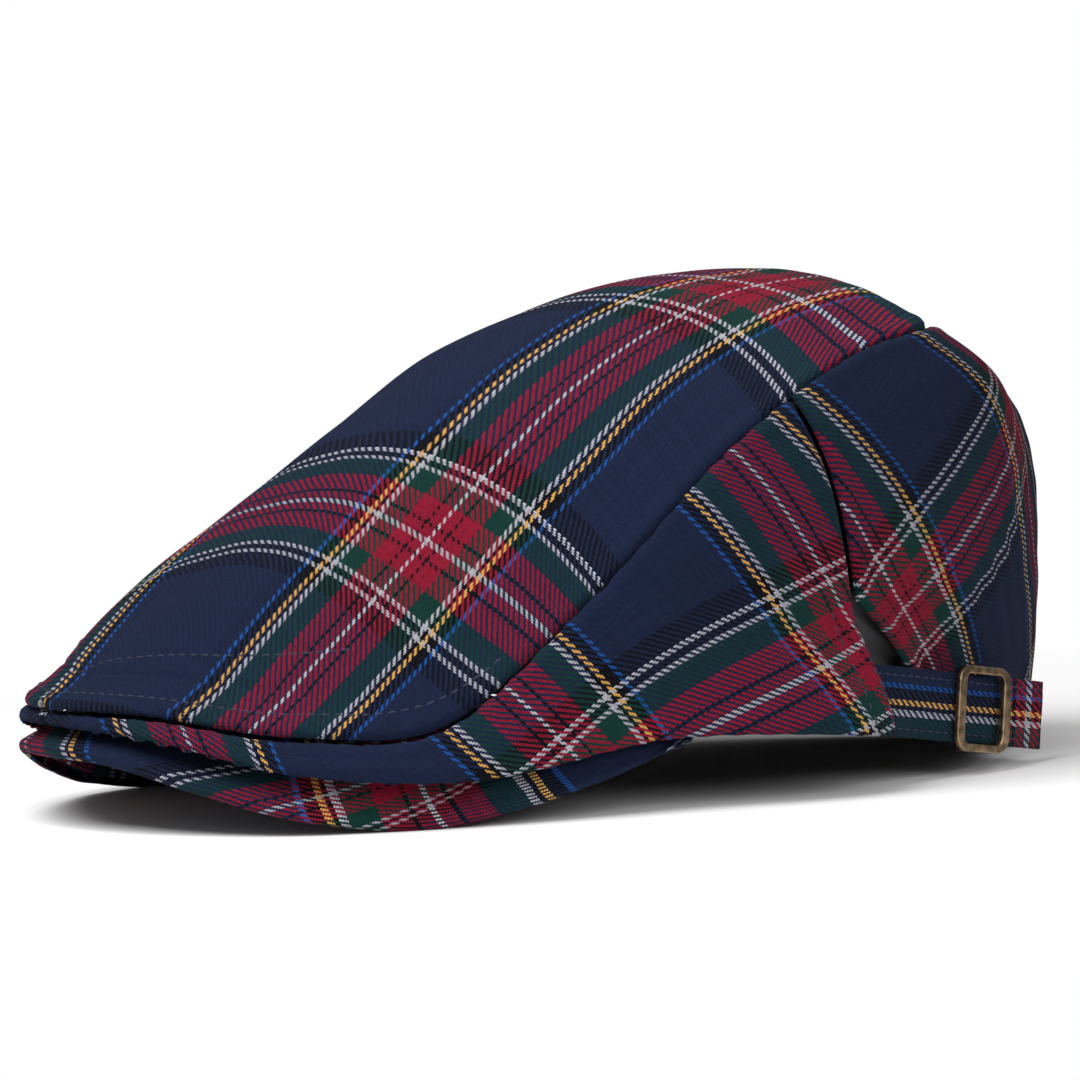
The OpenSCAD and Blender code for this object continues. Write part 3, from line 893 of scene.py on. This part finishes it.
class CAP_OT_crown(bpy.types.Operator):
    """Makes the top panel and the four pieces of the side panels"""

    bl_idname = "cap.crown"
    bl_label = "Crown panels"

    def execute(self, context):
        cloth = context.scene.cap_cloth
        fine = 1.0
        make_top_panel(cloth, fine)
        for name in SIDES:
            make_front_piece(name, cloth, fine)
            make_rear_piece(name, cloth, fine)
        return {"FINISHED"}


# ---------------------------------------------------------------- peak


PEAK_CLOTH = 0.8 * MM
PEAK_THICK = 3.4 * MM


def peak_uv(w, points):
    """The peak's covers are cut on the bias: the grain lies at 45 degrees to the edge."""
    round_edge = along(PEAK_LINE, np.abs(w[:, -1])) * MM
    step = np.linalg.norm(np.diff(round_edge, axis=0), axis=-1)
    run = np.concatenate([[0], np.cumsum(step)])
    s = np.abs(run - run[len(run) // 2])[:, None] * np.sign(w)
    inward = run_along(points[:, ::-1], 1)[:, ::-1]
    return turned(s, inward, np.radians(45.0), (0.079, -0.046))


def make_peak_top(fine):
    """The top cover runs over the peak, round its edge and a little way under it."""
    w, r = grid_of(np.linspace(-1, 1, int(220 * fine)), np.linspace(0, 1, int(40 * fine)))
    top = cap_surface(peak_point(w, r * 0.985))
    out = top[:, -1] - top[:, -2]
    out /= np.linalg.norm(out, axis=-1, keepdims=True)
    down = -normals_of(top, True)[:, -1]
    turns = np.linspace(0, np.pi * 0.93, int(22 * fine))[1:]
    horn = smooth((1 - np.abs(w[:, -1:])) / 0.16)
    radius = PEAK_THICK / 2 * mix(0.12, 1.0, horn)
    rim = [
        top[:, -1] + out * radius * np.sin(a) * 0.9 + down * radius * (1 - np.cos(a)) for a in turns
    ]
    outer = np.concatenate([top, np.stack(rim, 1)], 1)
    outer = outer + normals_of(outer, True) * (0.12 * MM * waves(outer, 14 * MM, 5))[..., None]
    full_w = np.repeat(w[:, :1], outer.shape[1], 1)
    cloth_piece(
        "peak_top_cloth", outer, peak_uv(full_w, outer), 0.6 * MM, material("tartan_twill"),
        "cap", ["peak_top_cover"], flip=True,
    )


def make_peak_under(fine):
    """The under cover faces the table; its outer face is its lower one."""
    w, r = grid_of(np.linspace(-1, 1, int(160 * fine)), np.linspace(0, 0.965, int(30 * fine)))
    pattern = peak_point(w, r)
    inward = (pattern - HEART) / np.linalg.norm(pattern - HEART, axis=-1, keepdims=True)
    lower = cap_surface(pattern - inward * (PEAK_THICK / MM))
    cloth_piece(
        "peak_under_cloth", lower, peak_uv(w, lower), PEAK_CLOTH, material("tartan_twill"),
        "cap", ["peak_under_cover"], flip=False,
    )


class CAP_OT_peak(bpy.types.Operator):
    """Makes the peak's two cloth covers"""

    bl_idname = "cap.peak"
    bl_label = "Peak covers"

    def execute(self, context):
        fine = 1.0
        make_peak_top(fine)
        make_peak_under(fine)
        return {"FINISHED"}


# ---------------------------------------------------------------- inside


def inset_surface(pattern, depth):
    """A layer at a depth in millimetres under a surface of the pattern."""
    way = (pattern - HEART) / np.linalg.norm(pattern - HEART, axis=-1, keepdims=True)
    return cap_surface(pattern - way * depth)


def run_uv(points):
    """Plain cloth coordinates: the distances run along a grid's rows and columns."""
    return np.stack([run_along(points, 0), run_along(points, 1)], -1)


def make_lining(cloth, fine):
    gores = {
        "lining_front": (-0.298, 0.298), "lining_left": (0.302, 0.748),
        "lining_right": (-0.748, -0.302), "lining_back": (0.752, 1.248),
    }
    for number, (name, (start, end)) in enumerate(gores.items()):
        q, a = grid_of(np.linspace(start, end, int(70 * fine)), np.linspace(0, 0.96, int(46 * fine)))
        q = np.where(q > 1, q - 2, q)
        plain = cap_surface(lining_point(q, a))
        folds = 0.7 * MM * waves(plain, 26 * MM, 70 + number) * np.sin(np.pi * a)
        outer = plain + normals_of(plain, False) * folds[..., None]
        cloth_piece(
            f"{name}_cloth", outer, run_uv(plain), cloth.lining, material("lining_satin"),
            "cap", [name],
        )


def make_band(fine):
    q, h = grid_of(np.linspace(-0.998, 0.998, int(200 * fine)), np.linspace(0, 1, 14))
    pattern = band_point(q, h)
    outer = cap_surface(pattern)
    cloth_piece(
        "sweatband_cloth", outer, run_uv(outer), 0.9 * MM, material("sweatband_cotton"),
        "cap", ["sweatband"],
    )
    q, h = grid_of(np.linspace(-0.998, 0.998, int(200 * fine)), np.linspace(0.02, 0.1, 4))
    edge = inset_surface(band_point(q, h), 1.1)
    cloth_piece(
        "sweatband_binding_cloth", edge, run_uv(edge), 0.4 * MM, material("seam_tape"),
        "cap", ["sweatband_binding"],
    )
    q, h = grid_of(np.linspace(0.865, 0.935, 12), np.linspace(0.35, 0.75, 10))
    label = inset_surface(band_point(q, h), 1.3)
    cloth_piece(
        "size_label_cloth", label, run_uv(label), 0.4 * MM, material("label"), "cap",
        ["size_label"],
    )


def make_tapes(fine):
    for name, side in SIDES.items():
        u = np.linspace(0.46, 0.97, int(60 * fine))
        edge, rim = along(SEAM_LINE, u), along(RIM_LINE, u, round_back=True)
        down = 4.0 / np.linalg.norm(edge - rim, axis=-1)
        across = np.minimum(0.5, 4.0 / np.maximum(edge[:, 0], 1.0))
        ones = np.ones_like(u)
        pattern = np.stack(
            [side_point(u, 1 - down, side), side_point(u, ones, side), top_point(u, side * (1 - across))], 1
        )
        points = inset_surface(pattern, 1.6)
        cloth_piece(
            f"{name}_seam_tape_cloth", points, run_uv(points), 0.4 * MM, material("seam_tape"),
            "cap", [f"{name}_seam_tape"], flip=side < 0,
        )
    v = np.linspace(0.1, 0.9, int(50 * fine))
    away = 4.0 / 345.0
    pattern = np.stack(
        [
            side_point(1 - away + 0 * v, v, 1),
            side_point(1 + 0 * v, v, 1),
            side_point(1 - away + 0 * v, v, -1),
        ],
        1,
    )
    points = inset_surface(pattern, 2.0)
    cloth_piece(
        "back_seam_tape_cloth", points, run_uv(points), 0.4 * MM, material("seam_tape"),
        "cap", ["back_seam_tape"], flip=True,
    )


def make_hidden_cloth(cloth, fine):
    """The interlining behind the top panel's front, and the facing behind the vent."""
    t, s = grid_of(np.linspace(0.3, 0.56, int(30 * fine)), np.linspace(-0.5, 0.5, int(30 * fine)))
    points = inset_surface(top_point(t, s), 1.6)
    cloth_piece(
        "front_interlining_cloth", points, run_uv(points), 0.5 * MM, material("interlining"),
        "cap", ["front_interlining"], flip=True,
    )
    u, v = grid_of(
        np.linspace(VENT_SHARE - 0.03, VENT_SHARE + 0.13, int(70 * fine)),
        np.linspace(0.03, 0.32, int(60 * fine)),
    )
    pattern = side_point(u, v)
    plain = inset_surface(pattern, 1.9)
    slack = np.sin(np.pi * (u - VENT_SHARE + 0.03) / 0.16) * np.sin(np.pi * (v - 0.03) / 0.29)
    folds = np.sin((plain[..., 2] + 0.5 * plain[..., 1]) / (9 * MM) * 2 * np.pi)
    sag = slack * (0.9 * MM * folds + 0.9 * MM * waves(plain, 12 * MM, 91) - 2.2 * MM)
    outer = plain + normals_of(plain, False) * sag[..., None]
    cloth_piece(
        "vent_facing_cloth", outer, run_uv(plain), cloth.lining, material("lining_satin"),
        "cap", ["vent_facing"],
    )


class CAP_OT_inside(bpy.types.Operator):
    """Makes the lining, sweatband, tapes, facing, interlining and label"""

    bl_idname = "cap.inside"
    bl_label = "Lining and sweatband"

    def execute(self, context):
        cloth = context.scene.cap_cloth
        fine = 1.0
        make_lining(cloth, fine)
        make_band(fine)
        make_tapes(fine)
        make_hidden_cloth(cloth, fine)
        return {"FINISHED"}


# ---------------------------------------------------------------- strap and buckle


BUCKLE_PLACE = np.array([67.6, 63.8, 15.0])
STRAP_DROOP = np.radians(8.5)
STRAP_WIDTH = 16.5 * MM
STRAP_THICK = 1.2 * MM
STRAP_REACH = 48 * MM
STRAP_TAIL = 27 * MM
STRAP_FOLD = 7 * MM
BUCKLE_LENGTH = 21 * MM
STRAP_ROOM = 1.3 * MM
BAR_D = 1.8 * MM
BAR_X = -(0.3 + 0.8 + 0.1 + 0.9) * MM
RAIL_Z = STRAP_WIDTH / 2 + 0.5 * MM


def strap_matrix():
    """The strap's own frame: +Y back along the strap, +X outwards, at the buckle's bar."""
    place = Matrix.Translation(Vector(sized(BUCKLE_PLACE - MIDDLE)))
    return place @ Matrix.Rotation(STRAP_HEADING, 4, "Z") @ Matrix.Rotation(-STRAP_DROOP, 4, "X")


def on_strap(points):
    """Points of the strap's own frame, in metres, to the cap's frame."""
    m = np.array(strap_matrix())
    return points @ m[:3, :3].T + m[:3, 3]


def make_strap(fine):
    """The strap: a folded strip with rolled edges, waved a little; its turned-back end is made by
    make_strap_end.
    """
    y, side = grid_of(
        np.linspace(-STRAP_REACH, STRAP_TAIL, int(180 * fine)), np.linspace(-1, 1, int(26 * fine))
    )
    rolled_edge = 0.45 * MM * (1 - np.sqrt(np.maximum(0, 1 - np.abs(side) ** 6)))
    wave = 0.12 * MM * np.sin(y / (13 * MM)) + 0.08 * MM * np.sin(y / (4.1 * MM) + 3 * side)
    rows = 0.16 * MM * np.exp(-(((np.abs(side) * STRAP_WIDTH / 2 - 6.25 * MM) / (0.5 * MM)) ** 2))
    x = STRAP_THICK - rolled_edge + wave - rows
    outer = on_strap(np.stack([x, y, side * STRAP_WIDTH / 2], -1))
    warp = 0.0263 - (STRAP_WIDTH / 2 - side * STRAP_WIDTH / 2)
    crimson_end = smooth((y - 7.5 * MM) / (4 * MM))
    weft = mix(0.8 * y - 0.0296, 0.62 * (y - 21.5 * MM), crimson_end)
    strap = cloth_piece(
        "strap_cloth", outer, np.stack([warp, weft], -1), 0.95 * MM, material("tartan_twill"),
        "strap", ["strap"], flip=False, flat=run_uv(outer),
    )
    return strap


def make_strap_end(fine):
    """The free end, turned back on itself, with a ragged edge."""
    turn, side = grid_of(np.linspace(0, 1, int(60 * fine)), np.linspace(-1, 1, int(40 * fine)))
    rng = np.random.default_rng(4)
    ragged = np.interp(side, np.linspace(-1, 1, 26), rng.uniform(-0.6, 0.6, 26)) * MM
    bend = 1.15 * MM
    angle = np.pi * np.clip(turn / 0.34, 0, 1)
    back = np.clip((turn - 0.34) / 0.66, 0, 1) * (STRAP_FOLD + ragged)
    y = STRAP_TAIL + bend * np.sin(angle) * 0.9 - back
    x = STRAP_THICK * 0.9 - bend * (1 - np.cos(angle))
    points = on_strap(np.stack([x, y, side * (STRAP_WIDTH / 2 - 0.1 * MM)], -1))
    warp = 0.0263 - (STRAP_WIDTH / 2 - side * STRAP_WIDTH / 2)
    weft = 0.0034 + 0.6 * run_along(points, 0)
    cloth_piece(
        "strap_end_cloth", points, np.stack([warp, weft], -1), 0.55 * MM, material("tartan_twill"),
        "strap", [], flip=False, flat=run_uv(points),
    )


def make_tab(fine):
    """The crimson tab: a loop round the bar whose two ends are sewn to the crown."""
    width = STRAP_WIDTH - 2 * MM
    target = sized(slumped(side_point(np.array(0.86), np.array(0.1)))) - sized(BUCKLE_PLACE - MIDDLE)
    local = np.array(strap_matrix())[:3, :3].T @ target
    run_end = np.array([local[0] + 1.4 * MM, local[1]])
    bar = np.array([BAR_X, 0.0])
    way = run_end - bar
    length = np.linalg.norm(way)
    way = way / length
    beside = np.array([-way[1], way[0]])
    radius = BAR_D / 2 + 0.5 * MM
    turns = np.linspace(np.pi / 2, 3 * np.pi / 2, 24)
    shares = (1, 0.7, 0.4, 0.15)

    def leg(share, side):
        """A point of one leg of the loop, which closes up away from the bar."""
        off = mix(radius, 0.45 * MM, smooth(np.array(share * 2.2)))
        return bar + way * share * length + side * beside * off

    out = [leg(share, 1) for share in shares]
    loop = [bar + radius * (np.cos(a) * way + np.sin(a) * beside) for a in turns]
    home = [leg(share, -1) for share in reversed(shares)]
    path = np.array(out + loop + home)
    z = np.linspace(-width / 2, width / 2, int(24 * fine))
    points = np.stack([np.stack([np.full_like(z, p[0]), np.full_like(z, p[1]), z], -1) for p in path])
    points = on_strap(points)
    uv = np.stack([0.004 + run_along(points, 1), 0.003 + 0.5 * run_along(points, 0)], -1)
    cloth_piece(
        "buckle_tab_cloth", points, uv, 0.7 * MM, material("tartan_twill"), "cap",
        ["buckle_tab"], flip=True, flat=run_uv(points),
    )


def ring_path(half_y, half_z, corner, count):
    """A rounded rectangle in the YZ plane, with its outward direction at each point."""
    points, ways = [], []
    for turn in range(4):
        side_y, side_z = (1, -1, -1, 1)[turn], (1, 1, -1, -1)[turn]
        centre = np.array([(half_y - corner) * side_y, (half_z - corner) * side_z])
        for a in np.linspace(0, np.pi / 2, count) + turn * np.pi / 2:
            way = np.array([np.cos(a), np.sin(a)])
            points.append(centre + corner * way)
            ways.append(way)
    return np.array(points), np.array(ways)


def sweep_ring(points, ways, half_width, half_thick, x, rounding=0.35 * MM):
    """A closed ring of metal: rounded bar sections, with how near to an edge each point is."""
    section, edge = [], []
    for turn in range(4):
        sx, sz = ((1, 1), (-1, 1), (-1, -1), (1, -1))[turn]
        for a in np.linspace(0, np.pi / 2, 5):
            section.append((sx, sz, a + turn * np.pi / 2))
            edge.append(1.0 if 0.2 < a < 1.4 else 0.35)
    verts, weights = [], []
    for p, way, half in zip(points, ways, half_width):
        for (sx, sz, a), e in zip(section, edge):
            out = sx * (half - rounding) + rounding * np.cos(a)
            up = sz * (half_thick - rounding) + rounding * np.sin(a)
            place = p + way * out
            verts.append((x(place) + up, place[0], place[1]))
            weights.append(e)
    around, along_ring = len(section), len(points)
    faces = []
    for i in range(along_ring):
        for j in range(around):
            a, b = i * around + j, i * around + (j + 1) % around
            c, d = ((i + 1) % along_ring) * around + (j + 1) % around, ((i + 1) % along_ring) * around + j
            faces.append((a, b, c, d))
    return np.array(verts), faces, weights


def make_buckle_frame(buckle):
    """The frame: a bent, rounded ring with wide end bars, and an ear on each rail."""
    half_y, half_z = BUCKLE_LENGTH / 2, RAIL_Z + 1.5 * MM
    corner = buckle.corner
    path, ways = ring_path(half_y - buckle.rim / 2, half_z - buckle.rail / 2, corner, 10)
    level = np.abs(ways[:, 0]) ** 2
    half = mix(buckle.rail / 2, buckle.rim / 2, level)
    near = STRAP_THICK + STRAP_ROOM + buckle.metal / 2

    def height(place):
        bend = buckle.bow * (place[1] / half_z) ** 2 * (1 if place[0] > 0 else 0.4)
        return near - bend + 0.25 * MM * np.sin(place[0] / half_y * 2.2)

    verts, faces, weights = sweep_ring(path, ways, half, buckle.metal / 2, height)
    faces = [tuple(reversed(f)) for f in faces]
    for sign in (-1, 1):
        ear, ear_faces = ear_mesh(sign, near - buckle.bow, half_z)
        faces += [tuple(k + len(verts) for k in f) for f in ear_faces]
        verts = np.concatenate([verts, ear])
        weights += [0.4] * len(ear)
    obj = add_object("buckle_frame_metal", on_strap(verts), faces, material("antique_brass"))
    layer = obj.data.attributes.new("edge", "FLOAT", "POINT")
    layer.data.foreach_set("value", weights)
    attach(obj, "buckle")
    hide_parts("buckle_frame")


def ear_mesh(sign, near, half_z):
    """A rounded ear that runs from a rail down to the bar's end."""
    outline = [(near, -4.2 * MM), (near, 4.2 * MM)]
    radius = BAR_D / 2 + 1.0 * MM
    for a in np.linspace(np.radians(60), np.radians(300), 17):
        outline.append((BAR_X + radius * np.cos(a), radius * np.sin(a)))
    low, high = sorted((sign * RAIL_Z, sign * half_z))
    verts = [(x, y, z) for z in (low + 0.05 * MM, high - 0.05 * MM) for x, y in outline]
    n = len(outline)
    faces = [tuple(range(n))[::-1], tuple(range(n, 2 * n))]
    faces += [(i, (i + 1) % n, n + (i + 1) % n, n + i) for i in range(n)]
    return np.array(verts), faces


def make_buckle_bar():
    """The round bar, with domed ends."""
    length = 2 * (RAIL_Z + 1.5 * MM)
    around = 24
    dome = [(1.0, 0.0), (0.995, 0.55), (0.98, 0.85), (0.95, 1.0)]
    stations = [(-z, r) for z, r in dome] + dome[::-1]
    verts = [
        (BAR_X + BAR_D / 2 * r * np.cos(a), BAR_D / 2 * r * np.sin(a), z * length / 2)
        for z, r in stations
        for a in np.linspace(0, 2 * np.pi, around, endpoint=False)
    ]
    faces = [
        (a + j, a + (j + 1) % around, b + (j + 1) % around, b + j)
        for a, b in ((i * around, (i + 1) * around) for i in range(len(stations) - 1))
        for j in range(around)
    ]
    obj = add_object("buckle_bar_metal", on_strap(np.array(verts)), faces, material("antique_brass"))
    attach(obj, "buckle")
    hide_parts("buckle_bar")


class CAP_OT_strap(bpy.types.Operator):
    """Makes the strap, its folded end and the buckle's tab"""

    bl_idname = "cap.strap"
    bl_label = "Strap and tab"

    def execute(self, context):
        fine = 1.0
        make_strap(fine)
        make_strap_end(fine)
        make_tab(fine)
        return {"FINISHED"}


class CAP_OT_buckle(bpy.types.Operator):
    """Makes the buckle's frame and bar"""

    bl_idname = "cap.buckle"
    bl_label = "Buckle"

    def execute(self, context):
        make_buckle_frame(context.scene.cap_buckle)
        make_buckle_bar()
        return {"FINISHED"}


# ---------------------------------------------------------------- stitching


def stitch_mesh(line, normals, cloth, duty=0.74):
    """Single stitches laid along a line: short rounded threads whose ends sink into the cloth."""
    run = np.concatenate([[0], np.cumsum(np.linalg.norm(np.diff(line, axis=0), axis=1))])
    count = max(1, int(run[-1] / cloth.stitch))
    verts, faces = [], []
    around, rings = 6, 7
    radius = cloth.thread / 2
    for k in range(count):
        share = (k + 0.13 + duty * np.linspace(0, 1, rings)) / count * run[-1]
        centre = np.stack([np.interp(share, run, line[:, i]) for i in range(3)], -1)
        normal = np.stack([np.interp(share, run, normals[:, i]) for i in range(3)], -1)
        way = np.gradient(centre, axis=0)
        way /= np.linalg.norm(way, axis=1, keepdims=True)
        beside = np.cross(way, normal)
        arch = np.sin(np.linspace(0, np.pi, rings))
        centre = centre + normal * ((arch - 0.75) * radius)[:, None]
        size = radius * (0.45 + 0.55 * arch)
        base = len(verts)
        for c, n, b, r in zip(centre, normal, beside, size):
            for a in np.linspace(0, 2 * np.pi, around, endpoint=False):
                verts.append(c + r * (np.cos(a) * n + np.sin(a) * b))
        for i in range(rings - 1):
            for j in range(around):
                a, b = base + i * around + j, base + i * around + (j + 1) % around
                faces.append((a, b, b + around, a + around))
        faces.append(tuple(base + j for j in reversed(range(around))))
        faces.append(tuple(base + (rings - 1) * around + j for j in range(around)))
    return verts, faces


def make_stitches(name, rows, cloth, body, replaces):
    """One object of stitches from rows of (points, normals)."""
    verts, faces = [], []
    for line, normals in rows:
        more, more_faces = stitch_mesh(line, normals, cloth)
        faces += [tuple(k + len(verts) for k in f) for f in more_faces]
        verts += more
    obj = add_object(name, verts, faces, material("thread"))
    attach(obj, body)
    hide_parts(*replaces)


def laid_on(target, points, toward):
    """Points dropped onto a piece's surface along given directions, with the surface's normals."""
    obj = bpy.data.objects[target]
    found, normals = [], []
    for p, way in zip(points, toward):
        hit, place, normal, _ = obj.ray_cast(Vector(p - way * 8 * MM), Vector(way))
        if hit:
            found.append(place)
            normals.append(normal)
    return np.array(found), np.array(normals)


def edge_line(distance, reach, count):
    """A line on the top panel at a distance inside its front edge, with inward directions."""
    q = np.linspace(-reach, reach, count)
    first = np.linalg.norm(np.array(CROWN_LINE[1], float) - np.array(CROWN_LINE[0], float))
    start = distance / first / (len(CROWN_LINE) - 1)
    t = np.hypot(q, start)
    s = q / t * (1 - distance / along(SEAM_LINE, t)[:, 0])
    points = cap_surface(top_point(t, s))
    step = 0.002
    side_way = cap_surface(top_point(t, s + step)) - points
    back_way = cap_surface(top_point(t + step, s)) - points
    inward = np.cross(side_way, back_way)
    inward /= np.linalg.norm(inward, axis=1, keepdims=True)
    inward *= -np.sign(inward[:, 2:3] + 1e-9)
    return points, inward


def vent_line(row, cloth, count):
    """A line up the front piece beside the vent, with inward directions."""
    v = np.linspace(0.02, VENT_TOP, count)
    u = np.full_like(v, VENT_SHARE - row / 345.0)
    points = cap_surface(vent_flare(side_point(u, v), u, v, cloth))
    inward = np.tile([-np.cos(STRAP_HEADING), -np.sin(STRAP_HEADING), 0.0], (count, 1))
    return points, inward


class CAP_OT_stitching(bpy.types.Operator):
    """Sews the rows of stitches along the top panel, the vent and the strap"""

    bl_idname = "cap.stitching"
    bl_label = "Stitching"

    def execute(self, context):
        cloth = context.scene.cap_cloth
        edge = laid_on("top_panel_cloth", *edge_line(3.25, 0.42, 420))
        make_stitches("front_edge_stitches", [edge], cloth, "cap", ["front_edge_stitching"])
        tack = laid_on("top_panel_cloth", *edge_line(12.25, 0.30, 300))
        make_stitches("peak_tack_stitches", [tack], cloth, "cap", ["peak_tacking"])
        vent = [laid_on("left_front_cloth", *vent_line(row, cloth, 60)) for row in (2.25, 7.75)]
        make_stitches("vent_stitches", vent, cloth, "cap", ["vent_stitching"])
        rows = []
        for side in (-1, 1):
            y = np.linspace(-STRAP_REACH + 1 * MM, STRAP_TAIL - 1 * MM, 120)
            z = np.full_like(y, side * 6.25 * MM)
            start = on_strap(np.stack([np.full_like(y, STRAP_THICK), y, z], -1))
            way = np.array(strap_matrix())[:3, :3] @ np.array([-1.0, 0, 0])
            rows.append(laid_on("strap_cloth", start, np.tile(way, (len(y), 1))))
        make_stitches("strap_stitches", rows, cloth, "strap", ["strap_stitching"])
        return {"FINISHED"}


# ---------------------------------------------------------------- materials and stage


class CAP_OT_materials(bpy.types.Operator):
    """Makes the shader groups and the materials, and gives the board its own"""

    bl_idname = "cap.materials"
    bl_label = "Materials"

    def execute(self, context):
        tartan_group()
        weave_group()
        wear_group()
        tartan_material(context.scene.cap_tartan)
        brass_material()
        weave_material("lining_satin", (0.034, 0.034, 0.038), 0.00035, 0.42, 0.5, 0.1, 0.05 * MM)
        weave_material("sweatband_cotton", (0.012, 0.012, 0.014), 0.0007, 0.85, 0.5, 0.2, 0.12 * MM)
        weave_material("seam_tape", (0.016, 0.016, 0.019), 0.0008, 0.8, 0.4, 0.1, 0.12 * MM)
        weave_material("interlining", (0.55, 0.53, 0.47), 0.0009, 0.9, 0.4, 0.1, 0.1 * MM)
        weave_material("label", (0.7, 0.69, 0.64), 0.0006, 0.7, 0.2, 0.1, 0.08 * MM)
        plain_material("thread", (0.012, 0.017, 0.045), 0.6, 3000.0, 0.05 * MM)
        plain_material("peak_board", (0.72, 0.72, 0.68), 0.5, 900.0, 0.03 * MM)
        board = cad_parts["peak_board"]
        board.material_slots[0].material = material("peak_board")
        return {"FINISHED"}


def camera_axes(stage):
    """The camera's right, up and back directions."""
    a, e = stage.azimuth, stage.elevation
    back = Vector((np.sin(a) * np.cos(e), -np.cos(a) * np.cos(e), np.sin(e)))
    right = Vector((np.cos(a), np.sin(a), 0))
    up = back.cross(right)
    turn = stage.roll
    return right * np.cos(turn) + up * np.sin(turn), up * np.cos(turn) - right * np.sin(turn), back


def add_light(name, place, target, power, size):
    light = bpy.data.lights.new(name, "AREA")
    light.energy = power
    light.shape = "RECTANGLE"
    light.size, light.size_y = size
    obj = bpy.data.objects.new(name, light)
    obj.location = place
    obj.rotation_euler = (target - place).to_track_quat("-Z", "Y").to_euler()
    bpy.context.scene.collection.objects.link(obj)


class CAP_OT_stage(bpy.types.Operator):
    """Makes the floor, the lights, the pale surroundings and the camera"""

    bl_idname = "cap.stage"
    bl_label = "Studio"

    def execute(self, context):
        stage = context.scene.cap_stage
        low = START_BOUNDS[0]
        middle = Vector(sized(np.array([2.6, -7.4, 58.6])))
        right, up, back = camera_axes(stage)
        camera = bpy.data.cameras.new("camera")
        camera.lens = stage.focal
        camera.sensor_width = 36.0
        camera.clip_end = 30.0
        obj = bpy.data.objects.new("camera", camera)
        place = middle + back * stage.distance
        obj.matrix_world = Matrix.Translation(place) @ Matrix((right, up, back)).transposed().to_4x4()
        bpy.context.scene.collection.objects.link(obj)
        bpy.context.scene.camera = obj

        floor_material()
        reach = 6.0
        z = low[2] - 0.1 * MM
        corners = [(-reach, -reach, z), (reach, -reach, z), (reach, reach, z), (-reach, reach, z)]
        floor = add_object("floor", corners, [(0, 1, 2, 3)], material("floor"), smooth=False)

        over = middle + Vector((0.25, -0.35, 0.85)) - right * 0.25
        add_light("key", over, middle, stage.key_power, (0.9, 0.7))
        beside = place + right * 0.55 + up * 0.45 - back * 0.3
        add_light("fill", beside, middle, stage.fill_power, (0.6, 0.6))

        world = bpy.data.worlds.new("studio")
        world.use_nodes = True
        background = world.node_tree.nodes["Background"]
        background.inputs["Color"].default_value = (1.0, 1.0, 1.0, 1.0)
        w = Wires(world.node_tree)
        seen = w.node("ShaderNodeLightPath").outputs["Is Camera Ray"]
        w.put(background.inputs["Strength"], w.math("MULTIPLY_ADD", seen, 1.0 - stage.ambient, stage.ambient))
        bpy.context.scene.world = world
        bpy.context.scene.view_settings.view_transform = "Standard"
        return {"FINISHED"}


# ---------------------------------------------------------------- add-on


class CAP_PT_panel(bpy.types.Panel):
    """Buttons for each step, and the settings they use"""

    bl_label = "Tartan cap"
    bl_idname = "CAP_PT_panel"
    bl_space_type = "VIEW_3D"
    bl_region_type = "UI"
    bl_category = "Cap"

    def draw(self, context):
        for operator in STEPS:
            self.layout.operator(operator.bl_idname)
        for name, group in SETTINGS.items():
            box = self.layout.box()
            for prop in group.__annotations__:
                box.prop(getattr(context.scene, name), prop)


SETTINGS = {
    "cap_cloth": CapClothSettings,
    "cap_tartan": CapTartanSettings,
    "cap_buckle": CapBuckleSettings,
    "cap_stage": CapStageSettings,
}
STEPS = [
    CAP_OT_materials, CAP_OT_crown, CAP_OT_peak, CAP_OT_inside, CAP_OT_strap, CAP_OT_buckle,
    CAP_OT_stitching, CAP_OT_stage,
]


def register():
    for item in (*SETTINGS.values(), *STEPS, CAP_PT_panel):
        bpy.utils.register_class(item)
    for name, group in SETTINGS.items():
        setattr(bpy.types.Scene, name, PointerProperty(type=group))


def unregister():
    for name in SETTINGS:
        delattr(bpy.types.Scene, name)
    for item in reversed((*SETTINGS.values(), *STEPS, CAP_PT_panel)):
        bpy.utils.unregister_class(item)


def main():
    register()
    bpy.ops.cap.materials()
    bpy.ops.cap.crown()
    bpy.ops.cap.peak()
    bpy.ops.cap.inside()
    bpy.ops.cap.strap()
    bpy.ops.cap.buckle()
    bpy.ops.cap.stitching()
    bpy.ops.cap.stage()


if __name__ == "__main__":
    main()
